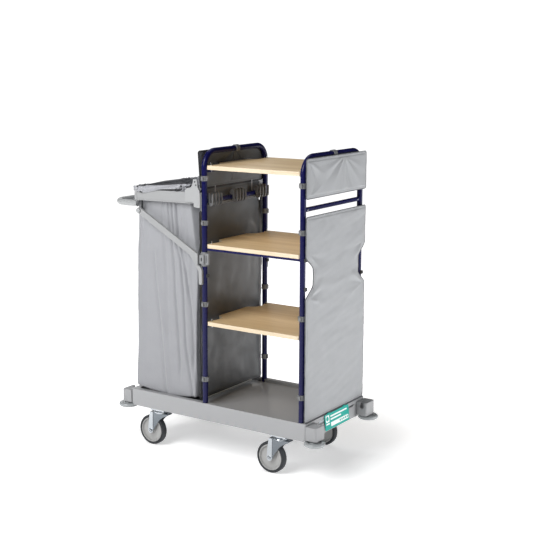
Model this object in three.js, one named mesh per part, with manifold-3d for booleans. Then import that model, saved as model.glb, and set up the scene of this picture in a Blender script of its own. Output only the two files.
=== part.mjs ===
// Housekeeping cart: a moulded tray on four swivel casters carries two tubular arches with three
// shelves between them, fabric covers on both ends, and a laundry bag on a bracketed frame.
// Millimetres, +Z up. X runs along the cart (handle at -X), Y across it (front at -Y).
// The origin is on the floor, under the middle of the overall outline.
import * as THREE from 'three';
import { mergeVertices } from 'three/addons/utils/BufferGeometryUtils.js';
import Module from 'manifold-3d';

const wasm = await Module();
wasm.setup();

// ---- driving dimensions -------------------------------------------------------------------
const FIT = 0.3;                      // gap left between pieces that touch
const RUNNING_FIT = 0.1;              // radial clearance of a pin in the bore that turns on it
const FRONT = -1;
const BACK = 1;

const WHEEL_R = 62.5;
const TYRE_W = 28;
const CASTER_OFFSET = 41;             // axle behind the swivel
const CASTER_Y = 195;
const CASTER_SPACING = 590;

const TRAY_X = 12;                    // middle of the tray
const TRAY_L = 850;
const TRAY_D = 452;
const TRAY_BOTTOM = 161;
const TRAY_TOP = 231;
const TRAY_FLOOR = 218;
const RAIL = 22;                      // width of the rim around the tray floor
const SOCKET_DEPTH = 40;
const SOCKET_R = 12.9;
const COLLAR_R = 19;                  // raised collar around each tube foot
const LEDGE_X = [140, 204];           // raised step at the foot of each long rail
const LUG_Y = [97, 143];              // pads beside the sign, one pair on each end rail
const LUG_Z = [170, 222];
const LUG_PROUD = 4;
const POCKET_WALL = 5;
const POCKET_WEBS = [-190, -70, 110, 290];

const BLOCK_OUT = 47.5;               // corner block beyond the tray end
const BLOCK_Y_IN = 162;
const BLOCK_Y_OUT = 229;
const BLOCK_BOTTOM = 168;
const BLOCK_TOP = 223;
const BLOCK_ROUND = 8;
const BLOCK_BEVEL = 4;
const BLOCK_SLOT = { half: 9, z: 207, y: 20 };  // round-bottomed slot for a clip-on holder
const BUMPER_R = 41;
const BUMPER_H = 16;
const BUMPER_Z = 148.3;
const BUMPER_X = 455;                 // from the middle of the tray
const BUMPER_Y = 209;
const BUMPER_PIN_R = 7;

const TUBE_R = 11;
const TUBE_WALL = 1.5;
const ARCH_Y = 213;
const ARCH_TOP = 1235;                // centre line of the top bar
const ARCH_BEND = 64;
const ARCH_LEFT_X = -40;
const ARCH_RIGHT_X = 410;
const CROSSBAR_Z = 1041;
const CROSSBAR_H = 17;
const CROSSBAR_T = 12;

const SHELF_T = 16;
const SHELF_TOPS = { top: 1182, middle: 874, bottom: 564 };
const SHELF_D = 434;
const SHELF_RAIL_H = 12;
const SHELF_RAIL_T = 8;

const PAD_T = 10;                     // padded cover thickness
const PAD_Y = 224;
const PANEL_GAP = 9.5;                // bag-side panel clear of the brace clamps
const PAD_GAP = 4;                    // air between a cover and its tubes
const UPPER_COVER_RIGHT_Z = [1083, 1230];
const UPPER_COVER_LEFT_Z = [1090, 1236];
const LOWER_COVER_Z = [TRAY_TOP + 1, 1016];
const PANEL_Z = [TRAY_TOP + 8, 1012];
const PANEL_Y = 212;
const PANEL_FLAP = { y: 200, top: 1086 };  // narrower top, behind the hooks and between the brackets
const SCALLOP = { z: 787, half: 80, depth: 54 };

const ARM_X = [-380, -74];
const ARM_Z = [1024, 1074];
const ARM_Y = [212, 226];
const ARM_STEP_X = -120;              // the arm runs level up to here and then rises
const ARM_RISE = 4;
const LUG_X = [-371, -343];           // ear under the arm that takes the brace and the handle
const LUG_TIP = [-352, 975];
const POST_X = [-82, -64];            // raised post on the bracket
const POST_TOP = 1127;
const HANDLE_X = -497;                // centre line of the grip bar
const HANDLE_Z = 1010;
const HANDLE_Y = 219.5;
const HANDLE_BEND = 60;
const BRACE_TOP = [-352, 984];
const BRACE_END = [-68, 826];
const BRACE_H = 24;
const BRACE_Y = [224.6, 237];
const BRACE_BOLT_R = 4;
const FOOT_X = [-53, -38];            // brace foot that bears on the arch tube
const FOOT_Z = [714, 772];
const CLAMP_Z = [786, 842];
const CLAMP_R = 17;

const BAG = { x: [-396, -92], y: 205.5, z: [238, 1050], wall: 4 };

// ---- materials ----------------------------------------------------------------------------
const paint = (color, roughness, metalness = 0) =>
  new THREE.MeshStandardMaterial({ color, roughness, metalness });
const plastic = paint(0xb2b3b4, 0.42);
const palePlastic = paint(0xc2c5c8, 0.35);
const clipGrey = paint(0x86888a, 0.5);
const navyTube = paint(0x191c5a, 0.3);
const wood = paint(0xd9bd8e, 0.55);
const zinc = paint(0xc4ccd2, 0.3, 0.9);
const rubber = paint(0x44484c, 0.75);
const hubGrey = paint(0xbfc0c0, 0.45);
const padFabric = paint(0xb5b8bc, 0.8);
const bagFabric = paint(0xaaabb2, 0.85);
const hemFabric = paint(0xc4c6ca, 0.5);
const teal = paint(0x00a99c, 0.4);

const cart = new THREE.Group();
cart.name = 'housekeeping_cart';

function addPart(name, geometry, material, parent = cart) {
  const mesh = new THREE.Mesh(geometry, material);
  mesh.name = name;
  parent.add(mesh);
  return mesh;
}

// ---- solids -------------------------------------------------------------------------------
// A closed geometry as a manifold solid, turned inside out first where its faces point inwards.
function solid(geometry) {
  const bare = geometry.clone();
  bare.deleteAttribute('normal');
  bare.deleteAttribute('uv');
  const merged = mergeVertices(bare, 1e-3);
  const xyz = merged.attributes.position.array;
  const index = Array.from(merged.index.array);
  if (signedVolume(xyz, index) < 0) index.reverse();
  const mesh = new wasm.Mesh({
    numProp: 3,
    vertProperties: new Float32Array(xyz),
    triVerts: new Uint32Array(index),
  });
  return new wasm.Manifold(mesh);
}

function signedVolume(xyz, index) {
  const corner = (k) => new THREE.Vector3().fromArray(xyz, index[k] * 3);
  let volume = 0;
  for (let k = 0; k < index.length; k += 3) {
    volume += corner(k).dot(corner(k + 1).cross(corner(k + 2)));
  }
  return volume;
}

function toGeometry(manifold) {
  const mesh = manifold.getMesh();
  const geometry = new THREE.BufferGeometry();
  geometry.setAttribute('position', new THREE.BufferAttribute(mesh.vertProperties, 3));
  geometry.setIndex(new THREE.BufferAttribute(mesh.triVerts, 1));
  geometry.computeVertexNormals();
  return geometry;
}

const join = (...pieces) => pieces.map(solid).reduce((whole, piece) => whole.add(piece));
const cut = (whole, ...tools) => tools.map(solid).reduce((rest, tool) => rest.subtract(tool), whole);

function box([x0, x1], [y0, y1], [z0, z1]) {
  const geometry = new THREE.BoxGeometry(x1 - x0, y1 - y0, z1 - z0);
  return geometry.translate((x0 + x1) / 2, (y0 + y1) / 2, (z0 + z1) / 2);
}

// A range on one side of the cart, measured outwards from its middle plane.
const across = (side, [inner, outer]) => (side > 0 ? [inner, outer] : [-outer, -inner]);

function rectangle(x0, x1, y0, y1, r) {
  const shape = new THREE.Shape();
  shape.absarc(x1 - r, y1 - r, r, 0, Math.PI / 2);
  shape.absarc(x0 + r, y1 - r, r, Math.PI / 2, Math.PI);
  shape.absarc(x0 + r, y0 + r, r, Math.PI, Math.PI * 1.5);
  shape.absarc(x1 - r, y0 + r, r, Math.PI * 1.5, Math.PI * 2);
  shape.closePath();
  return shape;
}

function polygon(points) {
  return new THREE.Shape(points.map(([x, y]) => new THREE.Vector2(x, y)));
}

const flatExtrude = (shape, depth, curveSegments) =>
  new THREE.ExtrudeGeometry(shape, { depth, bevelEnabled: false, curveSegments });

// Outlines drawn in the XY, XZ and YZ planes, thickened along the third axis.
function extrudeZ(shape, [z0, z1], curveSegments = 2) {
  return flatExtrude(shape, z1 - z0, curveSegments).translate(0, 0, z0);
}

function extrudeY(shape, [y0, y1], curveSegments = 3) {
  return flatExtrude(shape, y1 - y0, curveSegments).rotateX(Math.PI / 2).translate(0, y1, 0);
}

function extrudeX(shape, [x0, x1], curveSegments = 2) {
  const geometry = flatExtrude(shape, x1 - x0, curveSegments);
  return geometry.rotateX(Math.PI / 2).rotateZ(Math.PI / 2).translate(x0, 0, 0);
}

function rodZ(x, y, [z0, z1], r, sides = 14) {
  const rod = new THREE.CylinderGeometry(r, r, z1 - z0, sides).rotateX(Math.PI / 2);
  return rod.translate(x, y, (z0 + z1) / 2);
}

function rodY(x, [y0, y1], z, r, sides = 12) {
  return new THREE.CylinderGeometry(r, r, y1 - y0, sides).translate(x, (y0 + y1) / 2, z);
}

// A ring or disc turned about Y from radius-height pairs; closed on itself or on the axis.
function turned(profile, sides) {
  return new THREE.LatheGeometry(profile.map(([r, h]) => new THREE.Vector2(r, h)), sides);
}

// Straight runs joined by circular bends, sampled once per run and BEND_STEPS times per bend.
const BEND_STEPS = 6;

class BentRoute extends THREE.Curve {
  constructor(corners, radius) {
    super();
    const last = corners.length - 1;
    const way = (i) => corners[i + 1].clone().sub(corners[i]).normalize();
    this.knots = [{ at: corners[0], along: way(0) }];
    for (let i = 1; i < last; i += 1) {
      const [before, after] = [way(i - 1), way(i)];
      const turn = before.angleTo(after);
      const start = corners[i].clone().addScaledVector(before, -radius * Math.tan(turn / 2));
      for (let k = 0; k <= BEND_STEPS; k += 1) {
        this.knots.push(bendKnot(start, before, after, radius, turn, k / BEND_STEPS));
      }
    }
    this.knots.push({ at: corners[last], along: way(last - 1) });
  }

  get steps() {
    return this.knots.length - 1;
  }

  getPoint(t) {
    const place = Math.min(t, 1) * this.steps;
    const i = Math.min(Math.floor(place), this.steps - 1);
    return this.knots[i].at.clone().lerp(this.knots[i + 1].at, place - i);
  }

  getTangent(t) {
    return this.knots[Math.round(t * this.steps)].along.clone();
  }

  getPointAt(t) {
    return this.getPoint(t);
  }

  getTangentAt(t) {
    return this.getTangent(t);
  }
}

function bendKnot(start, before, after, radius, turn, part) {
  const inward = after.clone().addScaledVector(before, -Math.cos(turn)).normalize();
  const angle = turn * part;
  const at = start.clone()
    .addScaledVector(before, radius * Math.sin(angle))
    .addScaledVector(inward, radius * (1 - Math.cos(angle)));
  const along = before.clone().multiplyScalar(Math.cos(angle)).addScaledVector(inward, Math.sin(angle));
  return { at, along };
}

function tube(corners, bend, radius = TUBE_R, wall = TUBE_WALL) {
  const section = new THREE.Shape().absarc(0, 0, radius, 0, Math.PI * 2);
  section.holes.push(new THREE.Path().absarc(0, 0, radius - wall, 0, Math.PI * 2, true));
  const route = new BentRoute(corners.map((p) => new THREE.Vector3(...p)), bend);
  return new THREE.ExtrudeGeometry(section, {
    steps: route.steps,
    extrudePath: route,
    curveSegments: 6,
    bevelEnabled: false,
  });
}

// ---- chassis ------------------------------------------------------------------------------
const trayEnd = (end) => TRAY_X + (end * TRAY_L) / 2;
const casterX = (end) => TRAY_X + (end * CASTER_SPACING) / 2;
const SOCKET_BOTTOM = TRAY_TOP - SOCKET_DEPTH;
const archFeet = [ARCH_LEFT_X, ARCH_RIGHT_X].flatMap((x) => [[x, -ARCH_Y], [x, ARCH_Y]]);

function trayBody() {
  const [x0, x1] = [trayEnd(-1), trayEnd(1)];
  const y = TRAY_D / 2;
  let tray = solid(extrudeZ(rectangle(x0, x1, -y, y, 6), [TRAY_BOTTOM, TRAY_TOP]));
  const floor = rectangle(x0 + RAIL, x1 - RAIL, -y + RAIL, y - RAIL, 14);
  tray = cut(tray, extrudeZ(floor, [TRAY_FLOOR, TRAY_TOP + 5]), ...undersidePockets(x0, x1));
  for (const [fx, fy] of archFeet) {
    const collarY = Math.sign(fy) * (Math.abs(fy) - 6);
    tray = tray.add(solid(rodZ(fx, fy, [SOCKET_BOTTOM - 5, TRAY_TOP - 1], SOCKET_R)));
    tray = tray.add(solid(rodZ(fx, collarY, [TRAY_FLOOR - 4, TRAY_TOP], COLLAR_R)));
  }
  for (const side of [FRONT, BACK]) {
    const ledge = rectangle(...LEDGE_X, ...across(side, [176, y - RAIL + 2]), 8);
    tray = tray.add(solid(extrudeZ(ledge, [TRAY_FLOOR - 2, TRAY_TOP - 4])));
    for (const end of [-1, 1]) {
      tray = tray.add(solid(lugPad(end, side)));
      tray = cut(tray, lugSlot(end, side));
    }
  }
  for (const [fx, fy] of archFeet) {
    tray = cut(tray, rodZ(fx, fy, [SOCKET_BOTTOM, TRAY_TOP + 5], TUBE_R + FIT));
  }
  const notches = [FRONT, BACK].map((side) =>
    box([142, 150], across(side, [y - 13, y - 8]), [TRAY_TOP - 3, TRAY_TOP + 1]));
  const recesses = [-1, 1].flatMap((end) => [FRONT, BACK].map((side) => {
    const bumperTop = BUMPER_Z + BUMPER_H;
    return rodZ(TRAY_X + end * BUMPER_X, side * BUMPER_Y, [TRAY_BOTTOM - 5, bumperTop + 1], BUMPER_R + 2.5, 24);
  }));
  return toGeometry(cut(tray, ...notches, ...recesses));
}

// Moulded hollows under the floor. The webs between them carry the casters and the tube
// sockets, so the outer hollows are only in the two bays that have neither.
function undersidePockets(x0, x1) {
  const webs = [x0, ...POCKET_WEBS, x1];
  const plainBays = [1, 3];
  const pockets = [];
  for (let i = 0; i + 1 < webs.length; i += 1) {
    const span = [webs[i] + POCKET_WALL, webs[i + 1] - POCKET_WALL];
    pockets.push(extrudeZ(rectangle(...span, -140, 140, 8), [TRAY_BOTTOM - 5, TRAY_FLOOR - 5]));
    if (!plainBays.includes(i)) continue;
    for (const side of [FRONT, BACK]) {
      const outer = rectangle(...span, ...across(side, [146, 193]), 8);
      pockets.push(extrudeZ(outer, [TRAY_BOTTOM - 5, TRAY_FLOOR - 26]));
    }
  }
  return pockets;
}

// A flat pad on the end rail beside the sign, with a slot along its top.
function lugPad(end, side) {
  const span = [trayEnd(end) - LUG_PROUD, trayEnd(end) + LUG_PROUD];
  return extrudeX(rectangle(...across(side, LUG_Y), ...LUG_Z, 3), span);
}

function lugSlot(end, side) {
  const x = trayEnd(end);
  const span = end > 0 ? [x - 4, x + 1] : [x - 1, x + 4];
  return box(span, across(side, [LUG_Y[0] + 7, LUG_Y[1] - 7]), [LUG_Z[1] - 10, TRAY_TOP + 9]);
}

// A corner block with the pin and flange its bumper turns on, and a slot for a clip-on holder.
function cornerBlock(end, side) {
  const x = [trayEnd(end) + end * FIT, trayEnd(end) + end * BLOCK_OUT];
  const outline = rectangle(Math.min(...x), Math.max(...x),
    ...across(side, [BLOCK_Y_IN, BLOCK_Y_OUT]), BLOCK_ROUND);
  const geometry = new THREE.ExtrudeGeometry(outline, {
    depth: BLOCK_TOP - BLOCK_BOTTOM - 2 * BLOCK_BEVEL,
    bevelThickness: BLOCK_BEVEL,
    bevelSize: BLOCK_BEVEL,
    bevelOffset: -BLOCK_BEVEL,
    bevelSegments: 1,
    curveSegments: 2,
  }).translate(0, 0, BLOCK_BOTTOM + BLOCK_BEVEL);
  const [pinX, pinY] = [TRAY_X + end * BUMPER_X, side * BUMPER_Y];
  const block = solid(geometry)
    .add(solid(rodZ(pinX, pinY, [BUMPER_Z - 1, BLOCK_BOTTOM + 5], BUMPER_PIN_R)))
    .add(solid(rodZ(pinX, pinY, [BUMPER_Z + BUMPER_H + FIT, BLOCK_BOTTOM + 5], 15)))
    .add(solid(rodZ(pinX, pinY, [BUMPER_Z - 3, BUMPER_Z - FIT], 11)));
  const slotX = (x[0] + x[1]) / 2 + end * 2;
  const { half, z, y } = BLOCK_SLOT;
  const slot = new THREE.Shape();
  slot.moveTo(slotX + half, BLOCK_TOP + 5);
  slot.lineTo(slotX - half, BLOCK_TOP + 5);
  slot.absarc(slotX, z, half, Math.PI, Math.PI * 2);
  slot.closePath();
  const mouth = extrudeY(slot, across(side, [BLOCK_Y_IN - 5, BLOCK_Y_IN + y]), 12);
  return toGeometry(cut(block, mouth));
}

// A bumper roller: a round-edged disc with a bore that turns on the block's pin.
function bumperRoller() {
  const [r, h, bore] = [BUMPER_R, BUMPER_H, BUMPER_PIN_R + RUNNING_FIT];
  const ring = turned([
    [bore, 0], [r - 6, 0], [r - 1, 4], [r, h / 2], [r - 1, h - 4], [r - 6, h], [bore, h],
    [bore, 0],
  ], 24);
  return ring.rotateX(Math.PI / 2);
}

function addChassis() {
  addPart('base_tray', trayBody(), plastic);
  for (const [endName, end] of [['left', -1], ['right', 1]]) {
    for (const [sideName, side] of [['front', FRONT], ['back', BACK]]) {
      addPart(`corner_block_${sideName}_${endName}`, cornerBlock(end, side), plastic);
      const roller = addPart(`bumper_${sideName}_${endName}`,
        toGeometry(solid(bumperRoller())), palePlastic);
      roller.position.set(TRAY_X + end * BUMPER_X, side * BUMPER_Y, BUMPER_Z);
    }
  }
}

// ---- casters ------------------------------------------------------------------------------
const FORK_TOP = 142;
const RACE_SPLIT = 149.6;
const AXLE_R = 5;
const KING_PIN_R = 5;
const LEG_Y = [17.5, 20.5];

function casterPlate() {
  const plate = solid(extrudeZ(rectangle(-36, 36, -30, 30, 6), [157.2, TRAY_BOTTOM - FIT]))
    .add(solid(rodZ(0, 0, [RACE_SPLIT + FIT, 158], 22)))
    .add(solid(rodZ(0, 0, [FORK_TOP - 7, 158], KING_PIN_R)))
    .add(solid(rodZ(0, 0, [FORK_TOP - 8, FORK_TOP - 4 - FIT], 9)));
  const corners = [[-28, -22], [28, -22], [-28, 22], [28, 22]];
  const holes = corners.map(([x, y]) => rodZ(x, y, [150, 165], 4, 8));
  return toGeometry(cut(plate, ...holes));
}

function fork() {
  const ax = -CASTER_OFFSET;
  const leg = new THREE.Shape();
  leg.absarc(ax, WHEEL_R, 12, Math.PI, Math.PI * 1.9);
  leg.quadraticCurveTo(ax + 26, 88, 6, 114);
  leg.quadraticCurveTo(20, 128, 44, FORK_TOP - 5);
  leg.lineTo(44, FORK_TOP);
  leg.lineTo(ax - 3, FORK_TOP);
  leg.closePath();
  const crown = extrudeZ(rectangle(ax - 3, 44, -LEG_Y[1], LEG_Y[1], 5), [FORK_TOP - 4, FORK_TOP]);
  const yoke = join(crown, extrudeY(leg, across(BACK, LEG_Y)), extrudeY(leg, across(FRONT, LEG_Y)))
    .add(solid(rodZ(0, 0, [FORK_TOP - 1, RACE_SPLIT], 26)))
    .add(solid(rodY(ax, [-LEG_Y[1] - 4, LEG_Y[1] + 4], WHEEL_R, AXLE_R)))
    .add(solid(rodY(ax, [-LEG_Y[1] - 5, -LEG_Y[1] + 1], WHEEL_R, 8.5, 12)))
    .add(solid(rodY(ax, [LEG_Y[1] - 1, LEG_Y[1] + 5], WHEEL_R, 8.5, 12)));
  return toGeometry(cut(yoke, rodZ(0, 0, [FORK_TOP - 10, RACE_SPLIT + 5], KING_PIN_R + RUNNING_FIT, 24)));
}

// Wheel pieces are turned about the axle, which runs along Y through their own origin.
const RIM_R = 51.5;

function hub() {
  const bore = AXLE_R + RUNNING_FIT;
  const [boss, web, rim] = [16, 6, 12];
  return turned([
    [bore, -boss], [13, -boss], [17, -web], [RIM_R - 9, -web], [RIM_R - 4, -rim],
    [RIM_R, -rim], [RIM_R, rim], [RIM_R - 4, rim], [RIM_R - 9, web], [17, web],
    [13, boss], [bore, boss], [bore, -boss],
  ], 20);
}

function tyre() {
  const inner = RIM_R + FIT + 0.4;    // the hub's and the tyre's facets don't line up
  const w = TYRE_W / 2;
  const r = WHEEL_R;
  return turned([
    [inner, -w], [r - 6, -w], [r - 1, -w + 5], [r, 0], [r - 1, w - 5], [r - 6, w],
    [inner, w], [inner, -w],
  ], 28);
}

function addCaster(name, end, side) {
  const swivel = new THREE.Group();
  swivel.position.set(casterX(end), side * CASTER_Y, 0);
  cart.add(swivel);
  addPart(`caster_plate_${name}`, casterPlate(), zinc, swivel);
  addPart(`caster_fork_${name}`, fork(), zinc, swivel);
  const wheel = new THREE.Group();
  wheel.position.set(-CASTER_OFFSET, 0, WHEEL_R);
  swivel.add(wheel);
  addPart(`wheel_hub_${name}`, toGeometry(solid(hub())), hubGrey, wheel);
  addPart(`wheel_tyre_${name}`, toGeometry(solid(tyre())), rubber, wheel);
}

// ---- arches, crossbars and shelves --------------------------------------------------------
function shelfRail(x, top) {
  return box([x - SHELF_RAIL_T / 2, x + SHELF_RAIL_T / 2], [-ARCH_Y, ARCH_Y],
    [top - SHELF_T - FIT - SHELF_RAIL_H, top - SHELF_T - FIT]);
}

// One welded arch: the bent tube and the three rails that its shelves lie on.
function arch(x) {
  const foot = TRAY_TOP - SOCKET_DEPTH + FIT;
  const bent = tube([[x, -ARCH_Y, foot], [x, -ARCH_Y, ARCH_TOP], [x, ARCH_Y, ARCH_TOP],
    [x, ARCH_Y, foot]], ARCH_BEND);
  let whole = solid(bent);
  for (const top of Object.values(SHELF_TOPS)) {
    const rail = solid(shelfRail(x, top));
    const bores = [-ARCH_Y, ARCH_Y].map((y) => rodZ(x, y, [top - 60, top], TUBE_R - TUBE_WALL / 2));
    whole = whole.add(cut(rail, ...bores));
  }
  return toGeometry(largestPiece(whole));
}

// The rail stubs left inside the tube's bore are dropped.
function largestPiece(manifold) {
  const pieces = manifold.decompose();
  return pieces.reduce((a, b) => (a.volume() > b.volume() ? a : b));
}

function crossbar(x) {
  const section = rectangle(x - CROSSBAR_T / 2, x + CROSSBAR_T / 2,
    CROSSBAR_Z - CROSSBAR_H / 2, CROSSBAR_Z + CROSSBAR_H / 2, 4);
  const bar = solid(extrudeY(section, [-ARCH_Y, ARCH_Y]));
  const saddles = [-ARCH_Y, ARCH_Y].map((y) => rodZ(x, y, [1000, 1080], TUBE_R + FIT));
  return toGeometry(cut(bar, ...saddles));
}

// A shelf, drawn as one quarter about its middle and mirrored: a corner clear of the tube, a dip,
// and a tongue that reaches between the two tubes of its arch.
function shelf(top) {
  const half = (ARCH_RIGHT_X - ARCH_LEFT_X) / 2;
  const edge = SHELF_D / 2;
  const corner = half - TUBE_R - 2;
  const dip = corner - 9;
  const tongue = half + 15;
  const quarter = new THREE.Shape();
  quarter.moveTo(-1, -1);
  quarter.lineTo(tongue, -1);
  quarter.lineTo(tongue, 88);
  quarter.quadraticCurveTo(tongue, 106, half + 2, 112);
  quarter.quadraticCurveTo(corner - 6, 116, dip, 132);
  quarter.lineTo(dip, 158);
  quarter.quadraticCurveTo(dip, 176, corner, 186);
  quarter.lineTo(corner, edge - 6);
  quarter.quadraticCurveTo(corner, edge, corner - 6, edge);
  quarter.lineTo(-1, edge);
  quarter.closePath();
  const slab = solid(extrudeZ(quarter, [top - SHELF_T, top]));
  const end = slab.add(slab.mirror([0, 1, 0]));
  const board = end.add(end.mirror([1, 0, 0]));
  return toGeometry(board.translate([(ARCH_LEFT_X + ARCH_RIGHT_X) / 2, 0, 0]));
}

// A flat steel bar between the arches, under the long edge of the middle shelf.
function tieBar(side) {
  const z1 = SHELF_TOPS.middle - SHELF_T - FIT;
  const wide = [z1 - 20, z1 + 10];
  const ends = [ARCH_LEFT_X, ARCH_RIGHT_X];
  const bar = solid(box(ends, across(side, [ARCH_Y - 7, ARCH_Y + 3]), [z1 - 9, z1]));
  const saddles = ends.map((x) => rodZ(x, side * ARCH_Y, wide, TUBE_R + FIT));
  const railHalf = SHELF_RAIL_T / 2 + FIT;
  const rails = ends.map((x) => box([x - railHalf, x + railHalf], [-ARCH_Y, ARCH_Y], wide));
  return toGeometry(largestPiece(cut(bar, ...saddles, ...rails)));
}

function addFrame() {
  for (const [name, x] of [['left', ARCH_LEFT_X], ['right', ARCH_RIGHT_X]]) {
    addPart(`arch_${name}`, arch(x), navyTube);
    addPart(`crossbar_${name}`, crossbar(x), navyTube);
    addPart(`top_clip_${name}`, topClip(x), clipGrey);
  }
  for (const [name, top] of Object.entries(SHELF_TOPS)) addPart(`shelf_${name}`, shelf(top), wood);
  addPart('tie_bar_front', tieBar(FRONT), navyTube);
  addPart('tie_bar_back', tieBar(BACK), navyTube);
}

// A C-shaped clip snapped over the top bar, open below.
function topClip(x) {
  const outer = new THREE.CylinderGeometry(TUBE_R + 3.5, TUBE_R + 3.5, 22, 18);
  const inner = new THREE.CylinderGeometry(TUBE_R + FIT, TUBE_R + FIT, 30, 18);
  const place = (geometry) => geometry.translate(x, 0, ARCH_TOP);
  const mouth = box([x - 8, x + 8], [-20, 20], [ARCH_TOP - 20, ARCH_TOP - 6]);
  return toGeometry(cut(solid(place(outer)), place(inner), mouth));
}

// ---- covers, end panel and hooks ----------------------------------------------------------
const outside = (x, end, gap) => {
  const inner = x + end * (TUBE_R + gap);
  const outer = inner + end * PAD_T;
  return [Math.min(inner, outer), Math.max(inner, outer)];
};

// A hand-hold bitten out of a cover's long edge. Depths run inwards from that edge.
function scallop(side) {
  const { z, half, depth } = SCALLOP;
  const at = (inward) => side * (PAD_Y - inward);
  const shoulder = depth * 0.6;
  const bite = new THREE.Shape();
  bite.moveTo(at(-2), z - half - 10);
  bite.quadraticCurveTo(at(6), z - half + 12, at(shoulder), z - half * 0.62);
  bite.quadraticCurveTo(at(depth + 4), z - half * 0.3, at(depth), z);
  bite.quadraticCurveTo(at(depth + 4), z + half * 0.35, at(shoulder), z + half * 0.66);
  bite.quadraticCurveTo(at(8), z + half - 8, at(-2), z + half + 10);
  bite.lineTo(at(-20), z + half + 10);
  bite.lineTo(at(-20), z - half - 10);
  bite.closePath();
  return bite;
}

function cover(x, end, gap, half, height) {
  return solid(extrudeX(rectangle(-half, half, ...height, 8), outside(x, end, gap)));
}

// The bag-side panel: full width up to the crossbar, then a narrower flap behind the hooks.
function panelOutline() {
  const [z0, z1] = PANEL_Z;
  const { y, top } = PANEL_FLAP;
  return polygon([
    [-PANEL_Y + 6, z0], [PANEL_Y - 6, z0], [PANEL_Y, z0 + 6], [PANEL_Y, z1 - 6], [PANEL_Y - 6, z1],
    [y, z1], [y, top - 4], [y - 4, top],
    [-y + 4, top], [-y, top - 4], [-y, z1],
    [-PANEL_Y + 6, z1], [-PANEL_Y, z1 - 6], [-PANEL_Y, z0 + 6],
  ]);
}

function scallopedCover() {
  const sheet = cover(ARCH_RIGHT_X, 1, PAD_GAP, PAD_Y, LOWER_COVER_Z);
  const [inner, outer] = outside(ARCH_RIGHT_X, 1, PAD_GAP);
  const wide = [inner - 5, outer + 5];
  return toGeometry(cut(sheet, extrudeX(scallop(FRONT), wide, 3), extrudeX(scallop(BACK), wide, 3)));
}

// A saddle over the crossbar with four upturned hooks on the shelf side.
const HOOK_PITCH = 20;
const HOOK_W = 6;
const HOOK_WALL = 3;
const HOOK_REACH = 24;                // claw tip beyond the crossbar
const CLAW_BOTTOM = 1021;
const CLAW_TIP = 1052;

function hookRack(y) {
  const [back, face] = [-1, 1].map((s) => ARCH_LEFT_X + s * (CROSSBAR_T / 2 + FIT));
  const top = CROSSBAR_Z + CROSSBAR_H / 2 + FIT;
  const half = (3 * HOOK_PITCH + HOOK_W) / 2;
  const width = [y - half, y + half];
  const fin = polygon([
    [face, top], [face + 5, top + 24], [face + 1, top + 24], [back - HOOK_WALL, top + 4],
    [back - HOOK_WALL, top], [face, top],
  ]);
  const tip = face + HOOK_REACH;
  const claw = polygon([
    [face, top + 4], [face, 1031], [face + 4, CLAW_BOTTOM], [face + 17, CLAW_BOTTOM],
    [tip, 1030], [tip, CLAW_TIP], [tip - 5, CLAW_TIP], [tip - 5, 1033],
    [face + 14, 1027], [face + 8, 1027], [face + 4, 1033], [face + 4, top + 4],
  ]);
  let rack = join(
    box([back - HOOK_WALL, face + HOOK_WALL], width, [top, top + HOOK_WALL]),
    box([face, face + HOOK_WALL], width, [1034, top + HOOK_WALL]),
    box([back - HOOK_WALL, back], width, [1038, top + HOOK_WALL]),
  );
  for (let k = 0; k < 4; k += 1) {
    const start = width[0] + k * HOOK_PITCH;
    rack = rack.add(solid(extrudeY(claw, [start, start + HOOK_W])));
    rack = rack.add(solid(extrudeY(fin, [start, start + HOOK_W])));
  }
  return toGeometry(rack);
}

function addCovers() {
  const plainCover = (x, end, height) => toGeometry(cover(x, end, PAD_GAP, PAD_Y, height));
  addPart('cover_right_upper', plainCover(ARCH_RIGHT_X, 1, UPPER_COVER_RIGHT_Z), padFabric);
  addPart('cover_right_lower', scallopedCover(), padFabric);
  addPart('cover_left_upper', plainCover(ARCH_LEFT_X, -1, UPPER_COVER_LEFT_Z), padFabric);
  const panel = extrudeX(panelOutline(), outside(ARCH_LEFT_X, -1, PANEL_GAP));
  addPart('panel_left_lower', toGeometry(solid(panel)), padFabric);
  const rodR = 4;
  const rodX = outside(ARCH_LEFT_X, -1, PANEL_GAP)[1] + rodR + FIT;
  addPart('panel_rod', toGeometry(solid(rodY(rodX, [-186, 186], 240, rodR, 10))), clipGrey);
  for (const [name, y] of [['front', -165], ['middle', 0], ['back', 165]]) {
    addPart(`hook_rack_${name}`, hookRack(y), clipGrey);
  }
  const rail = box([ARCH_LEFT_X - 5, ARCH_LEFT_X + 5], [-200, 200], [1020, 1031]);
  addPart('hook_rail', rail, clipGrey);
}

// ---- laundry bag and its frame ------------------------------------------------------------
// An arm with a flanged end and an ear for the brace bolt.
function arm(side) {
  const [x0, x1] = ARM_X;
  const [z0, z1] = ARM_Z;
  const profile = polygon([
    [x0, z0], [ARM_STEP_X, z0 + ARM_RISE], [x1, z0 + 2 * ARM_RISE],
    [x1, z1 + ARM_RISE], [ARM_STEP_X, z1], [x0, z1 - ARM_RISE],
  ]);
  const [tipX, tipZ] = LUG_TIP;
  const ear = polygon([
    [LUG_X[0], z0 + 2], [LUG_X[0], tipZ + 21], [LUG_X[0] + 7, tipZ + 9], [tipX, tipZ],
    [LUG_X[1], tipZ + 9], [LUG_X[1], z0 + 2],
  ]);
  const whole = join(
    extrudeY(profile, across(side, ARM_Y)),
    box([x0 - 1, x0 + 12], across(side, [ARM_Y[0], ARM_Y[1] + 1.5]), [z0 + 1, z1 - 5]),
    extrudeY(ear, across(side, [ARM_Y[0], ARM_Y[1] - 4])),
  );
  const boltHole = across(side, [ARM_Y[0] - 2, ARM_Y[1] + 2]);
  return toGeometry(cut(whole, rodY(BRACE_TOP[0], boltHole, BRACE_TOP[1], BRACE_BOLT_R + FIT)));
}

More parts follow.
